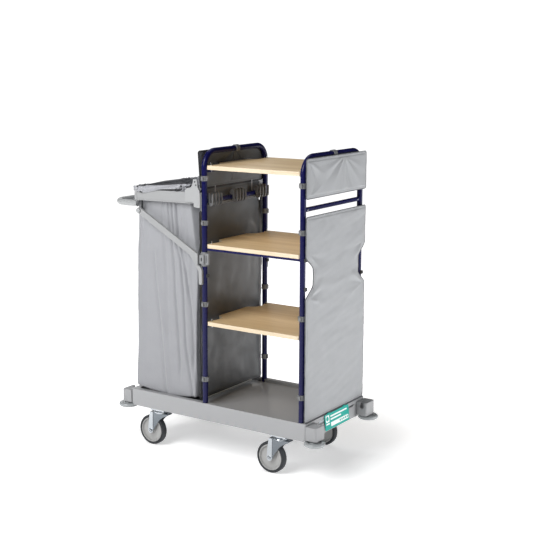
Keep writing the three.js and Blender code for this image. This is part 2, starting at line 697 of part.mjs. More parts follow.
// The bracket on the arch tube: a half collar, a side panel over the arm's end and a raised post.
function armBracket(side) {
  const x = ARCH_LEFT_X;
  const panelEnd = ARM_STEP_X - 2;
  const panel = polygon([
    [panelEnd, 1036], [-80, 1036], [-80, 1018], [x - 12, 1018], [x - 12, 1084],
    [POST_X[1] + 4, 1094], [POST_X[1], POST_TOP], [POST_X[0], POST_TOP],
    [POST_X[0] - 8, 1098], [panelEnd + 10, 1088], [panelEnd, 1082],
  ]);
  const whole = join(
    extrudeY(panel, across(side, [ARM_Y[1] + FIT, ARM_Y[1] + 5])),
    box([-70, x - TUBE_R + 1], across(side, [ARCH_Y - 6, ARM_Y[1] + 5]), [1016, 1072]),
    rodZ(x, side * ARCH_Y, [1003, 1075], TUBE_R + 4),
  );
  const height = [990, 1090];
  const bore = rodZ(x, side * ARCH_Y, height, TUBE_R + FIT);
  const inside = box([x - 40, x + 30], across(side, [ARCH_Y - 30, ARCH_Y - 7]), height);
  const open = box([x - 6, x + 30], across(side, [ARCH_Y - 30, ARCH_Y + 30]), height);
  return toGeometry(largestPiece(cut(whole, bore, inside, open)));
}

function pushHandle() {
  const root = LUG_X[0] - FIT;
  const wall = 3;
  return tube([[root, -HANDLE_Y, HANDLE_Z], [HANDLE_X, -HANDLE_Y, HANDLE_Z],
    [HANDLE_X, HANDLE_Y, HANDLE_Z], [root, HANDLE_Y, HANDLE_Z]], HANDLE_BEND, TUBE_R, wall);
}

// A brace: a straight flat bar, a curved leg and a foot that bears on the arch tube.
function brace(side) {
  const [tx, tz] = BRACE_TOP;
  const [ex, ez] = BRACE_END;
  const slope = Math.atan2(ez - tz, ex - tx);
  const half = BRACE_H / 2;
  const [nx, nz] = [-Math.sin(slope) * half, Math.cos(slope) * half];
  const tubeSide = ARCH_LEFT_X - CLAMP_R - 1;
  const outline = new THREE.Shape();
  outline.moveTo(ex + nx, ez + nz);
  outline.lineTo(tx + nx, tz + nz);
  outline.absarc(tx, tz, half, slope + Math.PI / 2, slope + Math.PI * 1.5);
  outline.lineTo(-99, 829);
  outline.quadraticCurveTo(-72, 802, FOOT_X[0] - 2, FOOT_Z[1] - 8);
  outline.lineTo(FOOT_X[0], FOOT_Z[0]);
  outline.lineTo(FOOT_X[1], FOOT_Z[0]);
  outline.lineTo(FOOT_X[1], FOOT_Z[1]);
  outline.lineTo(tubeSide, CLAMP_Z[0] + 4);
  outline.lineTo(tubeSide, CLAMP_Z[1] - 4);
  outline.closePath();
  const bore = rodY(tx, across(side, [200, 250]), tz, BRACE_BOLT_R + FIT);
  return toGeometry(cut(solid(extrudeY(outline, across(side, BRACE_Y))), bore));
}

// The clamp that ties the brace to the arch tube.
function braceClamp(side) {
  const x = ARCH_LEFT_X;
  const [z0, z1] = CLAMP_Z;
  const body = join(
    rodZ(x, side * ARCH_Y, CLAMP_Z, CLAMP_R),
    box([x - 4, x + CLAMP_R + 9], across(side, [ARCH_Y + 2, ARCH_Y + 12]), [z0 + 8, z1 - 4]),
    box([x - 12, x + 10], across(side, [ARCH_Y + 10, ARCH_Y + 22]), [z0 + 12, z1 - 10]),
  );
  const slot = box([x - 2, x + 3], across(side, [ARCH_Y + 17, ARCH_Y + 24]), [z0 + 18, z1 - 16]);
  const bore = rodZ(x, side * ARCH_Y, [z0 - 6, z1 + 8], TUBE_R + FIT);
  return toGeometry(cut(body, bore, slot));
}

function pivotBolt(side) {
  const [x, z] = BRACE_TOP;
  const length = [ARM_Y[0] - 3, BRACE_Y[1] + 6];
  const shank = rodY(x, across(side, length), z, BRACE_BOLT_R);
  const cap = rodY(x, across(side, [BRACE_Y[1] + FIT, BRACE_Y[1] + 7]), z, 10, 16);
  const nut = rodY(x, across(side, [ARM_Y[0] - 3, ARM_Y[0] - FIT]), z, 8, 6);
  return toGeometry(join(shank, cap, nut));
}

// The bag: an open-topped fabric box that hangs between the arms.
function laundryBag() {
  const [x0, x1] = BAG.x;
  const { y, z, wall } = BAG;
  const outer = solid(extrudeZ(rectangle(x0, x1, -y, y, 14), z));
  const inner = rectangle(x0 + wall, x1 - wall, -y + wall, y - wall, 10);
  return toGeometry(cut(outer, extrudeZ(inner, [z[0] + wall, z[1] + 5])));
}

// The bag's mouth hem, turned out over both arms, with a skirt down the outside of each.
function bagHem() {
  const [x0, x1] = [BAG.x[0] - 7, BAG.x[1] + 5];
  const yOut = ARM_Y[1] + 6;
  const yArm = ARM_Y[1] - FIT;
  const skirtEnd = ARM_STEP_X - 6;
  const top = [ARM_Z[1] + 5, ARM_Z[1] + 9];
  const ring = join(
    extrudeZ(rectangle(x0, skirtEnd, -yOut, yOut, 8), top),
    extrudeZ(rectangle(skirtEnd - 20, x1, -yArm, yArm, 4), top),
  );
  const mouth = rectangle(x0 + 13, x1 - 9, -BAG.y + 4, BAG.y - 4, 10);
  let hem = cut(ring, extrudeZ(mouth, [top[0] - 2, top[1] + 2]));
  for (const side of [FRONT, BACK]) {
    const skirt = box([x0 + 6, skirtEnd], across(side, [ARM_Y[1] + 3, yOut]), [1058, top[1]]);
    hem = hem.add(solid(skirt));
  }
  return toGeometry(hem);
}

function addBagFrame() {
  for (const [name, side] of [['front', FRONT], ['back', BACK]]) {
    addPart(`bag_arm_${name}`, arm(side), plastic);
    addPart(`arm_bracket_${name}`, armBracket(side), plastic);
    addPart(`brace_${name}`, brace(side), plastic);
    addPart(`brace_clamp_${name}`, braceClamp(side), plastic);
    addPart(`pivot_bolt_${name}`, pivotBolt(side), palePlastic);
  }
  addPart('push_handle', toGeometry(solid(pushHandle())), palePlastic);
  addPart('laundry_bag', laundryBag(), bagFabric);
  addPart('bag_hem', bagHem(), hemFabric);
}

// ---- sign plate ---------------------------------------------------------------------------
// A plate with two hooks behind it, leaning out at the bottom from the tray's end rail.
function addSign() {
  const [halfWidth, height, lean] = [92, 62, -7];
  const plate = extrudeX(rectangle(-halfWidth, halfWidth, 0, height, 3), [0, 2.5]);
  const hooks = [-60, 60].map((y) => box([-2.2, 2], [y - 9, y + 9], [height + 0.8, height + 3]));
  const risers = [-60, 60].map((y) => box([0.5, 2], [y - 9, y + 9], [height - 6, height + 3]));
  const sign = addPart('sign_plate', toGeometry(join(plate, ...risers, ...hooks)), teal);
  sign.rotation.y = THREE.MathUtils.degToRad(lean);
  sign.position.set(trayEnd(1) + 8.2, 0, 169.5);
}

addChassis();
for (const [endName, end] of [['left', -1], ['right', 1]]) {
  addCaster(`front_${endName}`, end, FRONT);
  addCaster(`back_${endName}`, end, BACK);
}
addFrame();
addCovers();
addBagFrame();
addSign();

export default cart;
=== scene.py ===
# Looks of the housekeeping cart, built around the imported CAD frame.
# Helpers take millimetres in the cart's own frame: X along the cart (handle at -X), Y across it
# (front at -Y), Z up from the floor. Meshes are stored in metres.
import math

import bmesh
import bpy
from mathutils import Matrix, Vector, noise


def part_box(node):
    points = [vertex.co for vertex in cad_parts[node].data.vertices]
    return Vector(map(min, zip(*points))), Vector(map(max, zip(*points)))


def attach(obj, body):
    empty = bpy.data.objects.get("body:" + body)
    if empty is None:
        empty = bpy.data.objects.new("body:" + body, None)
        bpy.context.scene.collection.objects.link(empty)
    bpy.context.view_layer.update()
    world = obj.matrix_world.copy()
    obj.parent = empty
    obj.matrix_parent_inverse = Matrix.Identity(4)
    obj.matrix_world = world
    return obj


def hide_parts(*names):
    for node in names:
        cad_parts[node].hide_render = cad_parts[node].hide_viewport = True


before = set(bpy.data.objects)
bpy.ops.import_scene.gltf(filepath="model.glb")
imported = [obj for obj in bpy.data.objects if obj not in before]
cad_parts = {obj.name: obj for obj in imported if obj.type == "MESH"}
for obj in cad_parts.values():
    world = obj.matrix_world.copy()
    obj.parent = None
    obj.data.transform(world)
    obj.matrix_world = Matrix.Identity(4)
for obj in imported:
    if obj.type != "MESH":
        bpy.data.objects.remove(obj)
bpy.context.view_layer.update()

MM = 0.001
SIDES = {"front": -1, "back": 1}
ENDS = {"left": -1, "right": 1}


def node_box(node):
    """Lowest and highest corner of a CAD node, in millimetres."""
    lo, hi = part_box(node)
    return lo / MM, hi / MM


def node_middle(node):
    lo, hi = node_box(node)
    return (lo + hi) / 2


TRAY_LO, TRAY_HI = node_box("base_tray")
TUBE_R = 11
ARCH_X = {end: node_middle(f"arch_{end}").x for end in ENDS}
ARCH_Y = node_box("arch_left")[1].y - TUBE_R
ARCH_TOP = node_box("arch_left")[1].z - TUBE_R
ARCH_FOOT = node_box("arch_left")[0].z
ARCH_BEND = 64
SHELVES = ("top", "middle", "bottom")


# ---- outlines -----------------------------------------------------------------------------
def arc(cx, cy, r, a0, a1, steps=10):
    """Points round a centre, from angle a0 to a1 in degrees."""
    turn = [math.radians(a0 + (a1 - a0) * k / steps) for k in range(steps + 1)]
    return [(cx + r * math.cos(a), cy + r * math.sin(a)) for a in turn]


def bow(p0, pull, p1, steps=10):
    """Points of a curve from p0 to p1 that leans towards pull. Its first point is left out."""
    points = []
    for k in range(1, steps + 1):
        t = k / steps
        u = 1 - t
        points.append(tuple(u * u * a + 2 * u * t * b + t * t * c for a, b, c in zip(p0, pull, p1)))
    return points


def rounded(u0, u1, v0, v1, r, steps=6):
    """A rectangle with round corners, counter-clockwise."""
    return (arc(u1 - r, v1 - r, r, 0, 90, steps) + arc(u0 + r, v1 - r, r, 90, 180, steps)
            + arc(u0 + r, v0 + r, r, 180, 270, steps) + arc(u1 - r, v0 + r, r, 270, 360, steps))


def disc(u, v, r, steps=32):
    return arc(u, v, r, 0, 360 - 360 / steps, steps - 1)


# ---- meshes -------------------------------------------------------------------------------
BEVEL_ANGLE, SHARP_ANGLE = 30, 38
LIFT = {
    "X": lambda u, v, w: (w, u, v),
    "Y": lambda u, v, w: (u, w, v),
    "Z": lambda u, v, w: (u, v, w),
}


class Shape:
    """Points in millimetres and faces, gathered before they become a mesh."""

    def __init__(self):
        self.points, self.faces = [], []

    def add(self, points, faces):
        start = len(self.points)
        self.points += [tuple(p) for p in points]
        self.faces += [tuple(start + i for i in face) for face in faces]
        return self

    def slab(self, axis, outline, span):
        """An outline thickened along an axis."""
        n, lift = len(outline), LIFT[axis]
        points = [lift(u, v, span[0]) for u, v in outline] + [lift(u, v, span[1]) for u, v in outline]
        faces = [tuple(range(n))[::-1], tuple(range(n, 2 * n))]
        faces += [(i, (i + 1) % n, n + (i + 1) % n, n + i) for i in range(n)]
        return self.add(points, faces)

    def box(self, x, y, z):
        return self.slab("Z", [(x[0], y[0]), (x[1], y[0]), (x[1], y[1]), (x[0], y[1])], z)

    def rod(self, axis, u, v, r, span, steps=32):
        return self.slab(axis, disc(u, v, r, steps), span)

    def lathe(self, axis, centre, profile, steps=64):
        """A closed profile of (radius, height) pairs, or one that ends on the axis, turned about it."""
        lift = LIFT[axis]
        points, faces, count = [], [], len(profile)
        for k in range(steps):
            a = 2 * math.pi * k / steps
            for r, h in profile:
                p = lift(r * math.cos(a), r * math.sin(a), h)
                points.append(tuple(c + d for c, d in zip(p, centre)))
        closed = profile[0][0] > 0
        for k in range(steps):
            here, there = k * count, ((k + 1) % steps) * count
            for i in range(count if closed else count - 1):
                j = (i + 1) % count
                faces.append((here + i, there + i, there + j, here + j))
        return self.add(points, faces)

    def sweep(self, route, radius, closed=False, steps=16):
        """A round tube along points. Each ring stands square to the route."""
        route = [Vector(p) for p in route]
        n = len(route)
        side = None
        points, faces = [], []
        for i, p in enumerate(route):
            ahead = route[(i + 1) % n] if closed or i + 1 < n else p
            behind = route[i - 1] if closed or i else p
            along = (ahead - behind).normalized()
            if side is None:
                side = along.orthogonal().normalized()
            side = (side - along * side.dot(along)).normalized()
            up = along.cross(side)
            for k in range(steps):
                a = 2 * math.pi * k / steps
                points.append(p + side * radius * math.cos(a) + up * radius * math.sin(a))
        for i in range(n if closed else n - 1):
            here, there = i * steps, ((i + 1) % n) * steps
            faces += [(here + k, here + (k + 1) % steps, there + (k + 1) % steps, there + k)
                      for k in range(steps)]
        if not closed:
            faces += [tuple(range(steps))[::-1], tuple(range((n - 1) * steps, n * steps))]
        return self.add(points, faces)

    def mesh(self, name):
        mesh = bpy.data.meshes.new(name)
        mesh.from_pydata([[c * MM for c in p] for p in self.points], [], self.faces)
        work = bmesh.new()
        work.from_mesh(mesh)
        bmesh.ops.remove_doubles(work, verts=work.verts, dist=1e-6)
        bmesh.ops.dissolve_degenerate(work, edges=work.edges, dist=1e-6)
        bmesh.ops.recalc_face_normals(work, faces=work.faces)
        work.to_mesh(mesh)
        work.free()
        return mesh


def link(name, mesh):
    piece = bpy.data.objects.new(name, mesh)
    bpy.context.scene.collection.objects.link(piece)
    return piece


def settle(piece):
    """Replaces a piece's mesh with what its modifiers make of it."""
    graph = bpy.context.evaluated_depsgraph_get()
    graph.update()
    made = bpy.data.meshes.new_from_object(piece.evaluated_get(graph))
    piece.modifiers.clear()
    old, piece.data = piece.data, made
    bpy.data.meshes.remove(old)


def combine(piece, shape, operation):
    """Joins a shape to a piece, or cuts it out of the piece."""
    tool = link("tool", shape.mesh("tool"))
    step = piece.modifiers.new("combine", "BOOLEAN")
    step.operation, step.solver, step.object = operation, "EXACT", tool
    settle(piece)
    bpy.data.meshes.remove(tool.data)


def join(piece, *shapes):
    for shape in shapes:
        combine(piece, shape, "UNION")


def cut(piece, *shapes):
    for shape in shapes:
        combine(piece, shape, "DIFFERENCE")


def soften(piece, width, segments=3):
    """Rounds the sharp edges of a piece and evens out its shading."""
    if width:
        step = piece.modifiers.new("round", "BEVEL")
        step.width, step.segments = width * MM, segments
        step.limit_method, step.angle_limit = "ANGLE", math.radians(BEVEL_ANGLE)
        step.use_clamp_overlap = True
        settle(piece)
    piece.data.shade_smooth()
    piece.data.set_sharp_from_angle(angle=math.radians(SHARP_ANGLE))
    weighted = piece.modifiers.new("even_shading", "WEIGHTED_NORMAL")
    weighted.keep_sharp, weighted.weight = True, 100
    settle(piece)


def finish_piece(piece, material, nodes, body="cart"):
    piece.data.materials.clear()
    piece.data.materials.append(material)
    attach(piece, body)
    if nodes:
        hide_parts(*nodes)
    return piece


def solid_piece(name, shapes, material, nodes=(), body="cart", cuts=(), width=1.2, segments=3):
    """A hard piece: shapes joined, others cut away, edges rounded."""
    piece = link(name, shapes[0].mesh(name))
    join(piece, *shapes[1:])
    cut(piece, *cuts)
    soften(piece, width, segments)
    return finish_piece(piece, material, nodes, body)


def cord(name, route, radius, steps, material):
    """A thin cord that closes on itself along a route."""
    piece = link(name, Shape().sweep(route, radius, True, steps).mesh("cord"))
    piece.data.shade_smooth()
    finish_piece(piece, material, ())


def thicken(piece, thickness, offset):
    """Gives a cloth its thickness: inwards at offset -1, half to each side at 0."""
    step = piece.modifiers.new("cloth_thickness", "SOLIDIFY")
    step.thickness, step.offset = thickness * MM, offset
    settle(piece)


# ---- materials ----------------------------------------------------------------------------
def tone(r, g, b):
    """A colour named as it looks on screen, 0 to 255, in Blender's linear values."""
    def linear(c):
        c /= 255
        return c / 12.92 if c <= 0.04045 else ((c + 0.055) / 1.055) ** 2.4
    return (linear(r), linear(g), linear(b), 1.0)


class Finish:
    """One procedural material. Every pattern is laid out in the piece's own space, in metres."""

    def __init__(self, name, color, roughness, metallic=0.0, **settings):
        self.material = bpy.data.materials.new(name)
        self.material.use_nodes = True
        self.tree = self.material.node_tree
        self.shader = self.tree.nodes["Principled BSDF"]
        self.put("Base Color", color)
        self.put("Roughness", roughness)
        self.put("Metallic", metallic)
        for socket, value in settings.items():
            self.put(socket.replace("_", " "), value)
        self.base = color
        self.surface = None
        self.space = self.node("ShaderNodeTexCoord").outputs["Object"]

    def put(self, socket, value):
        self.shader.inputs[socket].default_value = value

    def node(self, kind, **inputs):
        made = self.tree.nodes.new(kind)
        for socket, value in inputs.items():
            self.feed(made.inputs[socket.replace("_", " ")], value)
        return made

    def feed(self, socket, value):
        if isinstance(value, bpy.types.NodeSocket):
            self.tree.links.new(value, socket)
        else:
            socket.default_value = value

    def stretched(self, scale):
        mapping = self.node("ShaderNodeMapping", Vector=self.space, Scale=scale)
        return mapping.outputs["Vector"]

    def noise(self, scale, stretch=(1, 1, 1), detail=3.0, rough=0.5, swirl=0.0):
        made = self.node("ShaderNodeTexNoise", Vector=self.stretched(stretch), Scale=scale,
                         Detail=detail, Roughness=rough, Distortion=swirl)
        return made.outputs["Fac"]

    def math(self, operation, a, b=0.0):
        made = self.tree.nodes.new("ShaderNodeMath")
        made.operation = operation
        for socket, value in zip(made.inputs, (a, b)):
            self.feed(socket, value)
        return made.outputs[0]

    def ramp(self, value, low, high, start=0.0, end=1.0):
        made = self.node("ShaderNodeMapRange", Value=value, To_Min=start, To_Max=end)
        made.inputs["From Min"].default_value = low
        made.inputs["From Max"].default_value = high
        made.interpolation_type = "SMOOTHSTEP"
        return made.outputs[0]

    def tint(self, amount, color):
        """Blends another colour over what is there, by a pattern."""
        made = self.tree.nodes.new("ShaderNodeMix")
        made.data_type = "RGBA"
        self.feed(made.inputs["Factor"], amount)
        self.feed(made.inputs[6], self.base)
        self.feed(made.inputs[7], color)
        self.base = made.outputs[2]
        self.tree.links.new(self.base, self.shader.inputs["Base Color"])
        return self

    def roughen(self, pattern, low, high):
        spread = self.ramp(pattern, 0.3, 0.7, low, high)
        self.tree.links.new(spread, self.shader.inputs["Roughness"])
        return self

    def relief(self, height, depth, strength=1.0):
        """Adds relief of a depth in millimetres to what is there."""
        made = self.node("ShaderNodeBump", Height=height, Distance=depth * MM, Strength=strength)
        if self.surface is not None:
            self.tree.links.new(self.surface, made.inputs["Normal"])
        self.surface = made.outputs["Normal"]
        self.tree.links.new(self.surface, self.shader.inputs["Normal"])
        return self

    def along(self, axis):
        split = self.node("ShaderNodeSeparateXYZ", Vector=self.space)
        return split.outputs[axis]


def shaded(color, factor):
    return tuple(c * factor for c in color[:3]) + (1.0,)


def moulded(name, color, roughness=0.4, grain=0.016, coat=0.0):
    """Moulded plastic: fine spark-eroded grain, faint flow marks and uneven gloss."""
    finish = Finish(name, color, roughness, Coat_Weight=coat, Coat_Roughness=0.2, IOR=1.47)
    finish.tint(finish.ramp(finish.noise(6, (1, 1, 2), 3), 0.3, 0.75, 0, 0.3), shaded(color, 0.95))
    finish.tint(finish.ramp(finish.noise(55, (1, 1, 1), 3, 0.5), 0.5, 0.9, 0, 0.12), shaded(color, 0.93))
    finish.roughen(finish.noise(14, (1, 1, 1), 2), roughness - 0.01, roughness + 0.02)
    finish.relief(finish.noise(1100, detail=1), grain)
    return finish.material


def powder_coat(name, color):
    finish = Finish(name, color, 0.3, Coat_Weight=0.1, Coat_Roughness=0.09, IOR=1.45,
                    Specular_IOR_Level=0.22)
    finish.tint(finish.ramp(finish.noise(30, detail=4), 0.5, 0.75, 0, 0.5), shaded(color, 0.75))
    finish.roughen(finish.noise(60, detail=3), 0.26, 0.38)
    finish.relief(finish.noise(420, detail=2), 0.03)
    return finish.material


def zinc_plate(name, color, roughness=0.26):
    finish = Finish(name, color, roughness, 1.0)
    finish.tint(finish.ramp(finish.noise(30, detail=2), 0.4, 0.8, 0, 0.2), shaded(color, 0.82))
    finish.tint(finish.ramp(finish.noise(90, detail=2), 0.55, 0.85, 0, 0.08), tone(190, 187, 170))
    finish.roughen(finish.noise(40, detail=1), roughness - 0.02, roughness + 0.03)
    return finish.material


def laminate(name, light, dark):
    """Straight beech grain along X: broad figure, fine fibres and short flecks."""
    finish = Finish(name, light, 0.42, Coat_Weight=0.15, Coat_Roughness=0.3)
    figure = finish.noise(1.0, (1.1, 17, 17), 5, 0.55, 0.6)
    finish.tint(finish.ramp(figure, 0.36, 0.66, 0, 0.9), dark)
    streak = finish.noise(1.0, (2.5, 120, 120), 4, 0.6)
    finish.tint(finish.ramp(streak, 0.45, 0.75, 0, 0.45), shaded(dark, 0.86))
    fleck = finish.noise(1.0, (38, 620, 620), 2)
    finish.tint(finish.ramp(fleck, 0.62, 0.72, 0, 0.5), shaded(dark, 0.72))
    finish.roughen(streak, 0.38, 0.5)
    finish.relief(streak, 0.05)
    finish.relief(fleck, 0.04)
    return finish.material


def edge_band(name, color):
    finish = Finish(name, color, 0.4)
    finish.tint(finish.ramp(finish.noise(1.0, (6, 6, 260), 4), 0.4, 0.7, 0, 0.5), tone(204, 180, 142))
    finish.relief(finish.noise(1.0, (20, 20, 700), 3), 0.05)
    return finish.material


def woven(name, color, thread=0.7, roughness=0.62, seam=False, depth=0.04, sheen=0.25, crinkle=0.28):
    """Coated polyester: plain weave, faint streaks and soil, and a stitched line where seam is set."""
    finish = Finish(name, color, roughness, Sheen_Weight=sheen, Sheen_Roughness=0.4)
    finish.tint(finish.ramp(finish.noise(7, (1, 1, 1), 5, 0.6), 0.4, 0.68, 0, 0.5), shaded(color, 0.93))
    finish.tint(finish.ramp(finish.noise(420, (1, 1, 0.3), 3), 0.5, 0.75, 0, 0.25), shaded(color, 0.86))
    pitch = 2 * math.pi / (thread * MM)
    across = finish.math("ADD", finish.along("X"), finish.along("Y"))
    warp = finish.math("SINE", finish.math("MULTIPLY", across, pitch))
    weft = finish.math("SINE", finish.math("MULTIPLY", finish.along("Z"), pitch))
    finish.relief(finish.math("MULTIPLY", warp, weft), depth, 0.6)
    finish.relief(finish.noise(35, detail=3, rough=0.55), crinkle, 0.6)
    finish.roughen(finish.noise(22, detail=4), roughness - 0.08, roughness + 0.08)
    if seam:
        stitched_line(finish, color)
    return finish.material


def stitched_line(finish, color):
    """A row of stitches where the piece's own seam value is near 1, pulled a little into the cloth."""
    seam = finish.tree.nodes.new("ShaderNodeAttribute")
    seam.attribute_name = "seam"
    near = finish.math("ABSOLUTE", finish.math("SUBTRACT", seam.outputs["Fac"], 1.0))
    line = finish.ramp(near, 0.05, 0.16, 1, 0)
    run = finish.math("ADD", finish.along("Y"), finish.along("Z"))
    dash = finish.math("SINE", finish.math("MULTIPLY", run, 2 * math.pi / 0.004))
    stitch = finish.math("MULTIPLY", line, finish.ramp(dash, -0.5, 0.1))
    finish.tint(finish.math("MULTIPLY", stitch, 0.7), shaded(color, 0.55))
    finish.relief(finish.ramp(near, 0.0, 0.5, -1, 0), 0.7)


def rubber(name, color):
    finish = Finish(name, color, 0.68)
    finish.tint(finish.ramp(finish.noise(60, detail=5, rough=0.65), 0.5, 0.75, 0, 0.5), shaded(color, 1.35))
    finish.relief(finish.noise(900, detail=3), 0.06)
    finish.roughen(finish.noise(30, detail=3), 0.6, 0.78)
    return finish.material


PLASTIC = moulded("moulded_plastic", tone(154, 155, 157), 0.4)
TRAY_PLASTIC = moulded("tray_plastic", tone(158, 159, 161), 0.3, 0.004)
ARM_PLASTIC = moulded("arm_plastic", tone(154, 155, 156), 0.36, 0.006)
PALE = moulded("pale_plastic", tone(158, 162, 164), 0.2, 0.004, 0.5)
GRIP = moulded("grip_plastic", tone(160, 162, 163), 0.4, 0.004)
CLAMP = moulded("clamp_plastic", tone(132, 133, 135), 0.36)
HOOK = moulded("hook_plastic", tone(100, 100, 101), 0.4)
CLIP = moulded("clip_plastic", tone(112, 113, 115), 0.42)
DARK = moulded("dark_plastic", tone(44, 45, 47), 0.45)
NAVY = powder_coat("navy_coat", tone(12, 13, 68))
ZINC = zinc_plate("zinc", tone(188, 193, 198), 0.2)
# The zinc again, darker: a painted dark reflection for the wings of the forks.
ZINC_PAINTED_REFLECTION = zinc_plate("zinc_painted_reflection", tone(122, 128, 134), 0.24)
BRACKET = moulded("bracket_plastic", tone(162, 163, 164), 0.34, 0.006)
WOOD = laminate("beech_laminate", tone(232, 205, 162), tone(214, 184, 138))
EDGE = edge_band("edge_band", tone(222, 206, 180))
COVER = woven("cover_fabric", tone(162, 164, 167), seam=True)
# The cover fabric again, darker: painted shade for the inward skins, which lie in the bays' shadow.
COVER_PAINTED_SHADE = woven("cover_fabric_painted_shade", tone(93, 96, 100), seam=True, roughness=0.42, depth=0.02, crinkle=0.14)
BAG = woven("bag_fabric", tone(148, 149, 153), 0.5, 0.66, depth=0.03)
HEM = woven("hem_fabric", tone(158, 159, 164), 0.5, 0.3, depth=0.02, sheen=0.1)
PIPING = woven("piping_cloth", tone(92, 94, 98), 0.5)
BLACK_TRIM = woven("black_binding", tone(38, 39, 42), 0.5)
TYRE = rubber("tyre_rubber", tone(42, 45, 49))
HUB = moulded("hub_plastic", tone(168, 168, 167), 0.42)
SIGN = moulded("sign_face", tone(0, 168, 154), 0.6, 0.004)
PRINT = moulded("sign_print", tone(240, 246, 245), 0.4, 0.01)


# ---- chassis ------------------------------------------------------------------------------
RAIL = 22
TRAY_FLOOR = 218
SOCKET_R = TUBE_R + 0.4
BUMPER_RECESS_R = 43.5
BLOCK_BOTTOM = 168
BLOCK_SLOT = {"half": 9, "z": 207, "deep": 20}


def tray():
    x, y, z = zip(TRAY_LO, TRAY_HI)
    x = (x[0] + 4, x[1] - 4)
    body = Shape().slab("Z", rounded(*x, *y, 7), z)
    parts, cuts = [body], []
    floor = rounded(x[0] + RAIL, x[1] - RAIL, y[0] + RAIL, y[1] - RAIL, 14)
    cuts.append(Shape().slab("Z", floor, (TRAY_FLOOR, z[1] + 5)))
    webs = [x[0], -190, -70, 110, 290, x[1]]
    for bay, (start, end) in enumerate(zip(webs, webs[1:])):
        cuts.append(Shape().slab("Z", rounded(start + 5, end - 5, -140, 140, 8), (z[0] - 5, TRAY_FLOOR - 5)))
        for side in (SIDES.values() if bay in (1, 3) else ()):
            lane = rounded(start + 5, end - 5, *sorted((side * 146, side * 193)), 8)
            cuts.append(Shape().slab("Z", lane, (z[0] - 5, TRAY_FLOOR - 26)))
    for side in SIDES.values():
        ledge = rounded(140, 204, *sorted((side * 176, side * (y[1] - RAIL + 2))), 8)
        parts.append(Shape().slab("Z", ledge, (TRAY_FLOOR - 2, z[1] - 4)))
        notch = sorted((side * (y[1] - 13), side * (y[1] - 8)))
        cuts.append(Shape().box((142, 150), notch, (z[1] - 3, z[1] + 5)))
        for foot in ARCH_X.values():
            parts.append(Shape().rod("Z", foot, side * (ARCH_Y - 6), 19, (TRAY_FLOOR - 4, z[1] - 0.4)))
            cuts.append(Shape().rod("Z", foot, side * ARCH_Y, SOCKET_R, (z[1] - 39, z[1] + 5)))
        for end in ENDS.values():
            at = x[end > 0]
            pad = rounded(*sorted((side * 98, side * 136)), 170, 212, 3)
            parts.append(Shape().slab("X", pad, (at - 4, at + 4)))
            slot_y, slot_z = ((-133, -86), (204, 215)) if side < 0 else ((104, 142), (212.6, 217))
            cuts.append(Shape().box(sorted((at - end * 12, at + end * 5)), slot_y, slot_z))
    for end_name in ENDS:
        for side_name in SIDES:
            pin = node_middle(f"bumper_{side_name}_{end_name}")
            cuts.append(Shape().rod("Z", pin.x, pin.y, BUMPER_RECESS_R, (z[0] - 5, z[0] + 4.3), 64))
    solid_piece("tray", parts, TRAY_PLASTIC, ["base_tray"], cuts=cuts, width=1.8)


def corner_block(end_name, side_name):
    end, side = ENDS[end_name], SIDES[side_name]
    node = f"corner_block_{side_name}_{end_name}"
    lo, hi = node_box(node)
    z = (BLOCK_BOTTOM, hi.z)
    inner, outer = (lo.x, hi.x) if end > 0 else (hi.x, lo.x)
    outline = arc(outer - end * 8, hi.y - 8, 8, 90 - 90 * end, 90, 8) + [(inner, hi.y), (inner, lo.y)]
    outline += arc(outer - end * 8, lo.y + 8, 8, 270, 270 + 90 * end, 8)
    block = link(f"block_{side_name}_{end_name}", Shape().slab("Z", outline, z).mesh("block"))
    soften(block, 2.4, 4)
    pin = node_middle(f"bumper_{side_name}_{end_name}")
    bumper_lo, bumper_hi = node_box(f"bumper_{side_name}_{end_name}")
    boss, post = (bumper_hi.z + 0.3, z[0] + 5), (bumper_lo.z - 1, z[0] + 5)
    for radius, span in ((15, boss), (7, post), (11, (bumper_lo.z - 3, bumper_lo.z - 0.3))):
        join(block, Shape().rod("Z", pin.x, pin.y, radius, span))
    middle = (lo.x + hi.x) / 2 + end * 2
    face = hi.y if side < 0 else lo.y
    mouth = sorted((face - side * 5, face + side * BLOCK_SLOT["deep"]))
    half = BLOCK_SLOT["half"]
    notch = [(middle + half, hi.z + 5), (middle - half, hi.z + 5)]
    notch += arc(middle, BLOCK_SLOT["z"], half, 180, 360, 16)
    cut(block, Shape().slab("Y", notch, mouth))
    soften(block, 0.8, 2)
    finish_piece(block, PLASTIC, [node])


def bumper(end_name, side_name):
    node = f"bumper_{side_name}_{end_name}"
    lo, hi = node_box(node)
    centre = (lo + hi) / 2
    r, h = (hi.x - lo.x) / 2, (hi.z - lo.z) / 2
    rim = arc(r - h, 0, h, -90, 90, 16)
    dish = [(r - h - 3, h), (r - h - 7, h - 0.8), (r - h - 9, h - 2.6)]
    dish += [(20, h - 2.6), (18, h - 0.4), (7.1, h - 0.4)]
    profile = [(7.1, -h + 1), (18, -h + 1), (22, -h)] + rim + dish
    solid_piece(f"bumper_disc_{side_name}_{end_name}", [Shape().lathe("Z", centre, profile)], PALE,
                [node], body=f"bumper_roller_{side_name}_{end_name}", width=0)


# ---- casters ------------------------------------------------------------------------------
WHEEL_R = 62.5
AXLE_R = 5
TYRE_W = 28


def caster(end_name, side_name):
    label = f"{side_name}_{end_name}"
    pivot = node_middle(f"caster_plate_{label}")
    axle = node_middle(f"wheel_tyre_{label}")
    caster_plate(label, pivot, node_box(f"caster_plate_{label}")[1].z)
    caster_fork(label, pivot, axle)
    wheel(label, axle)


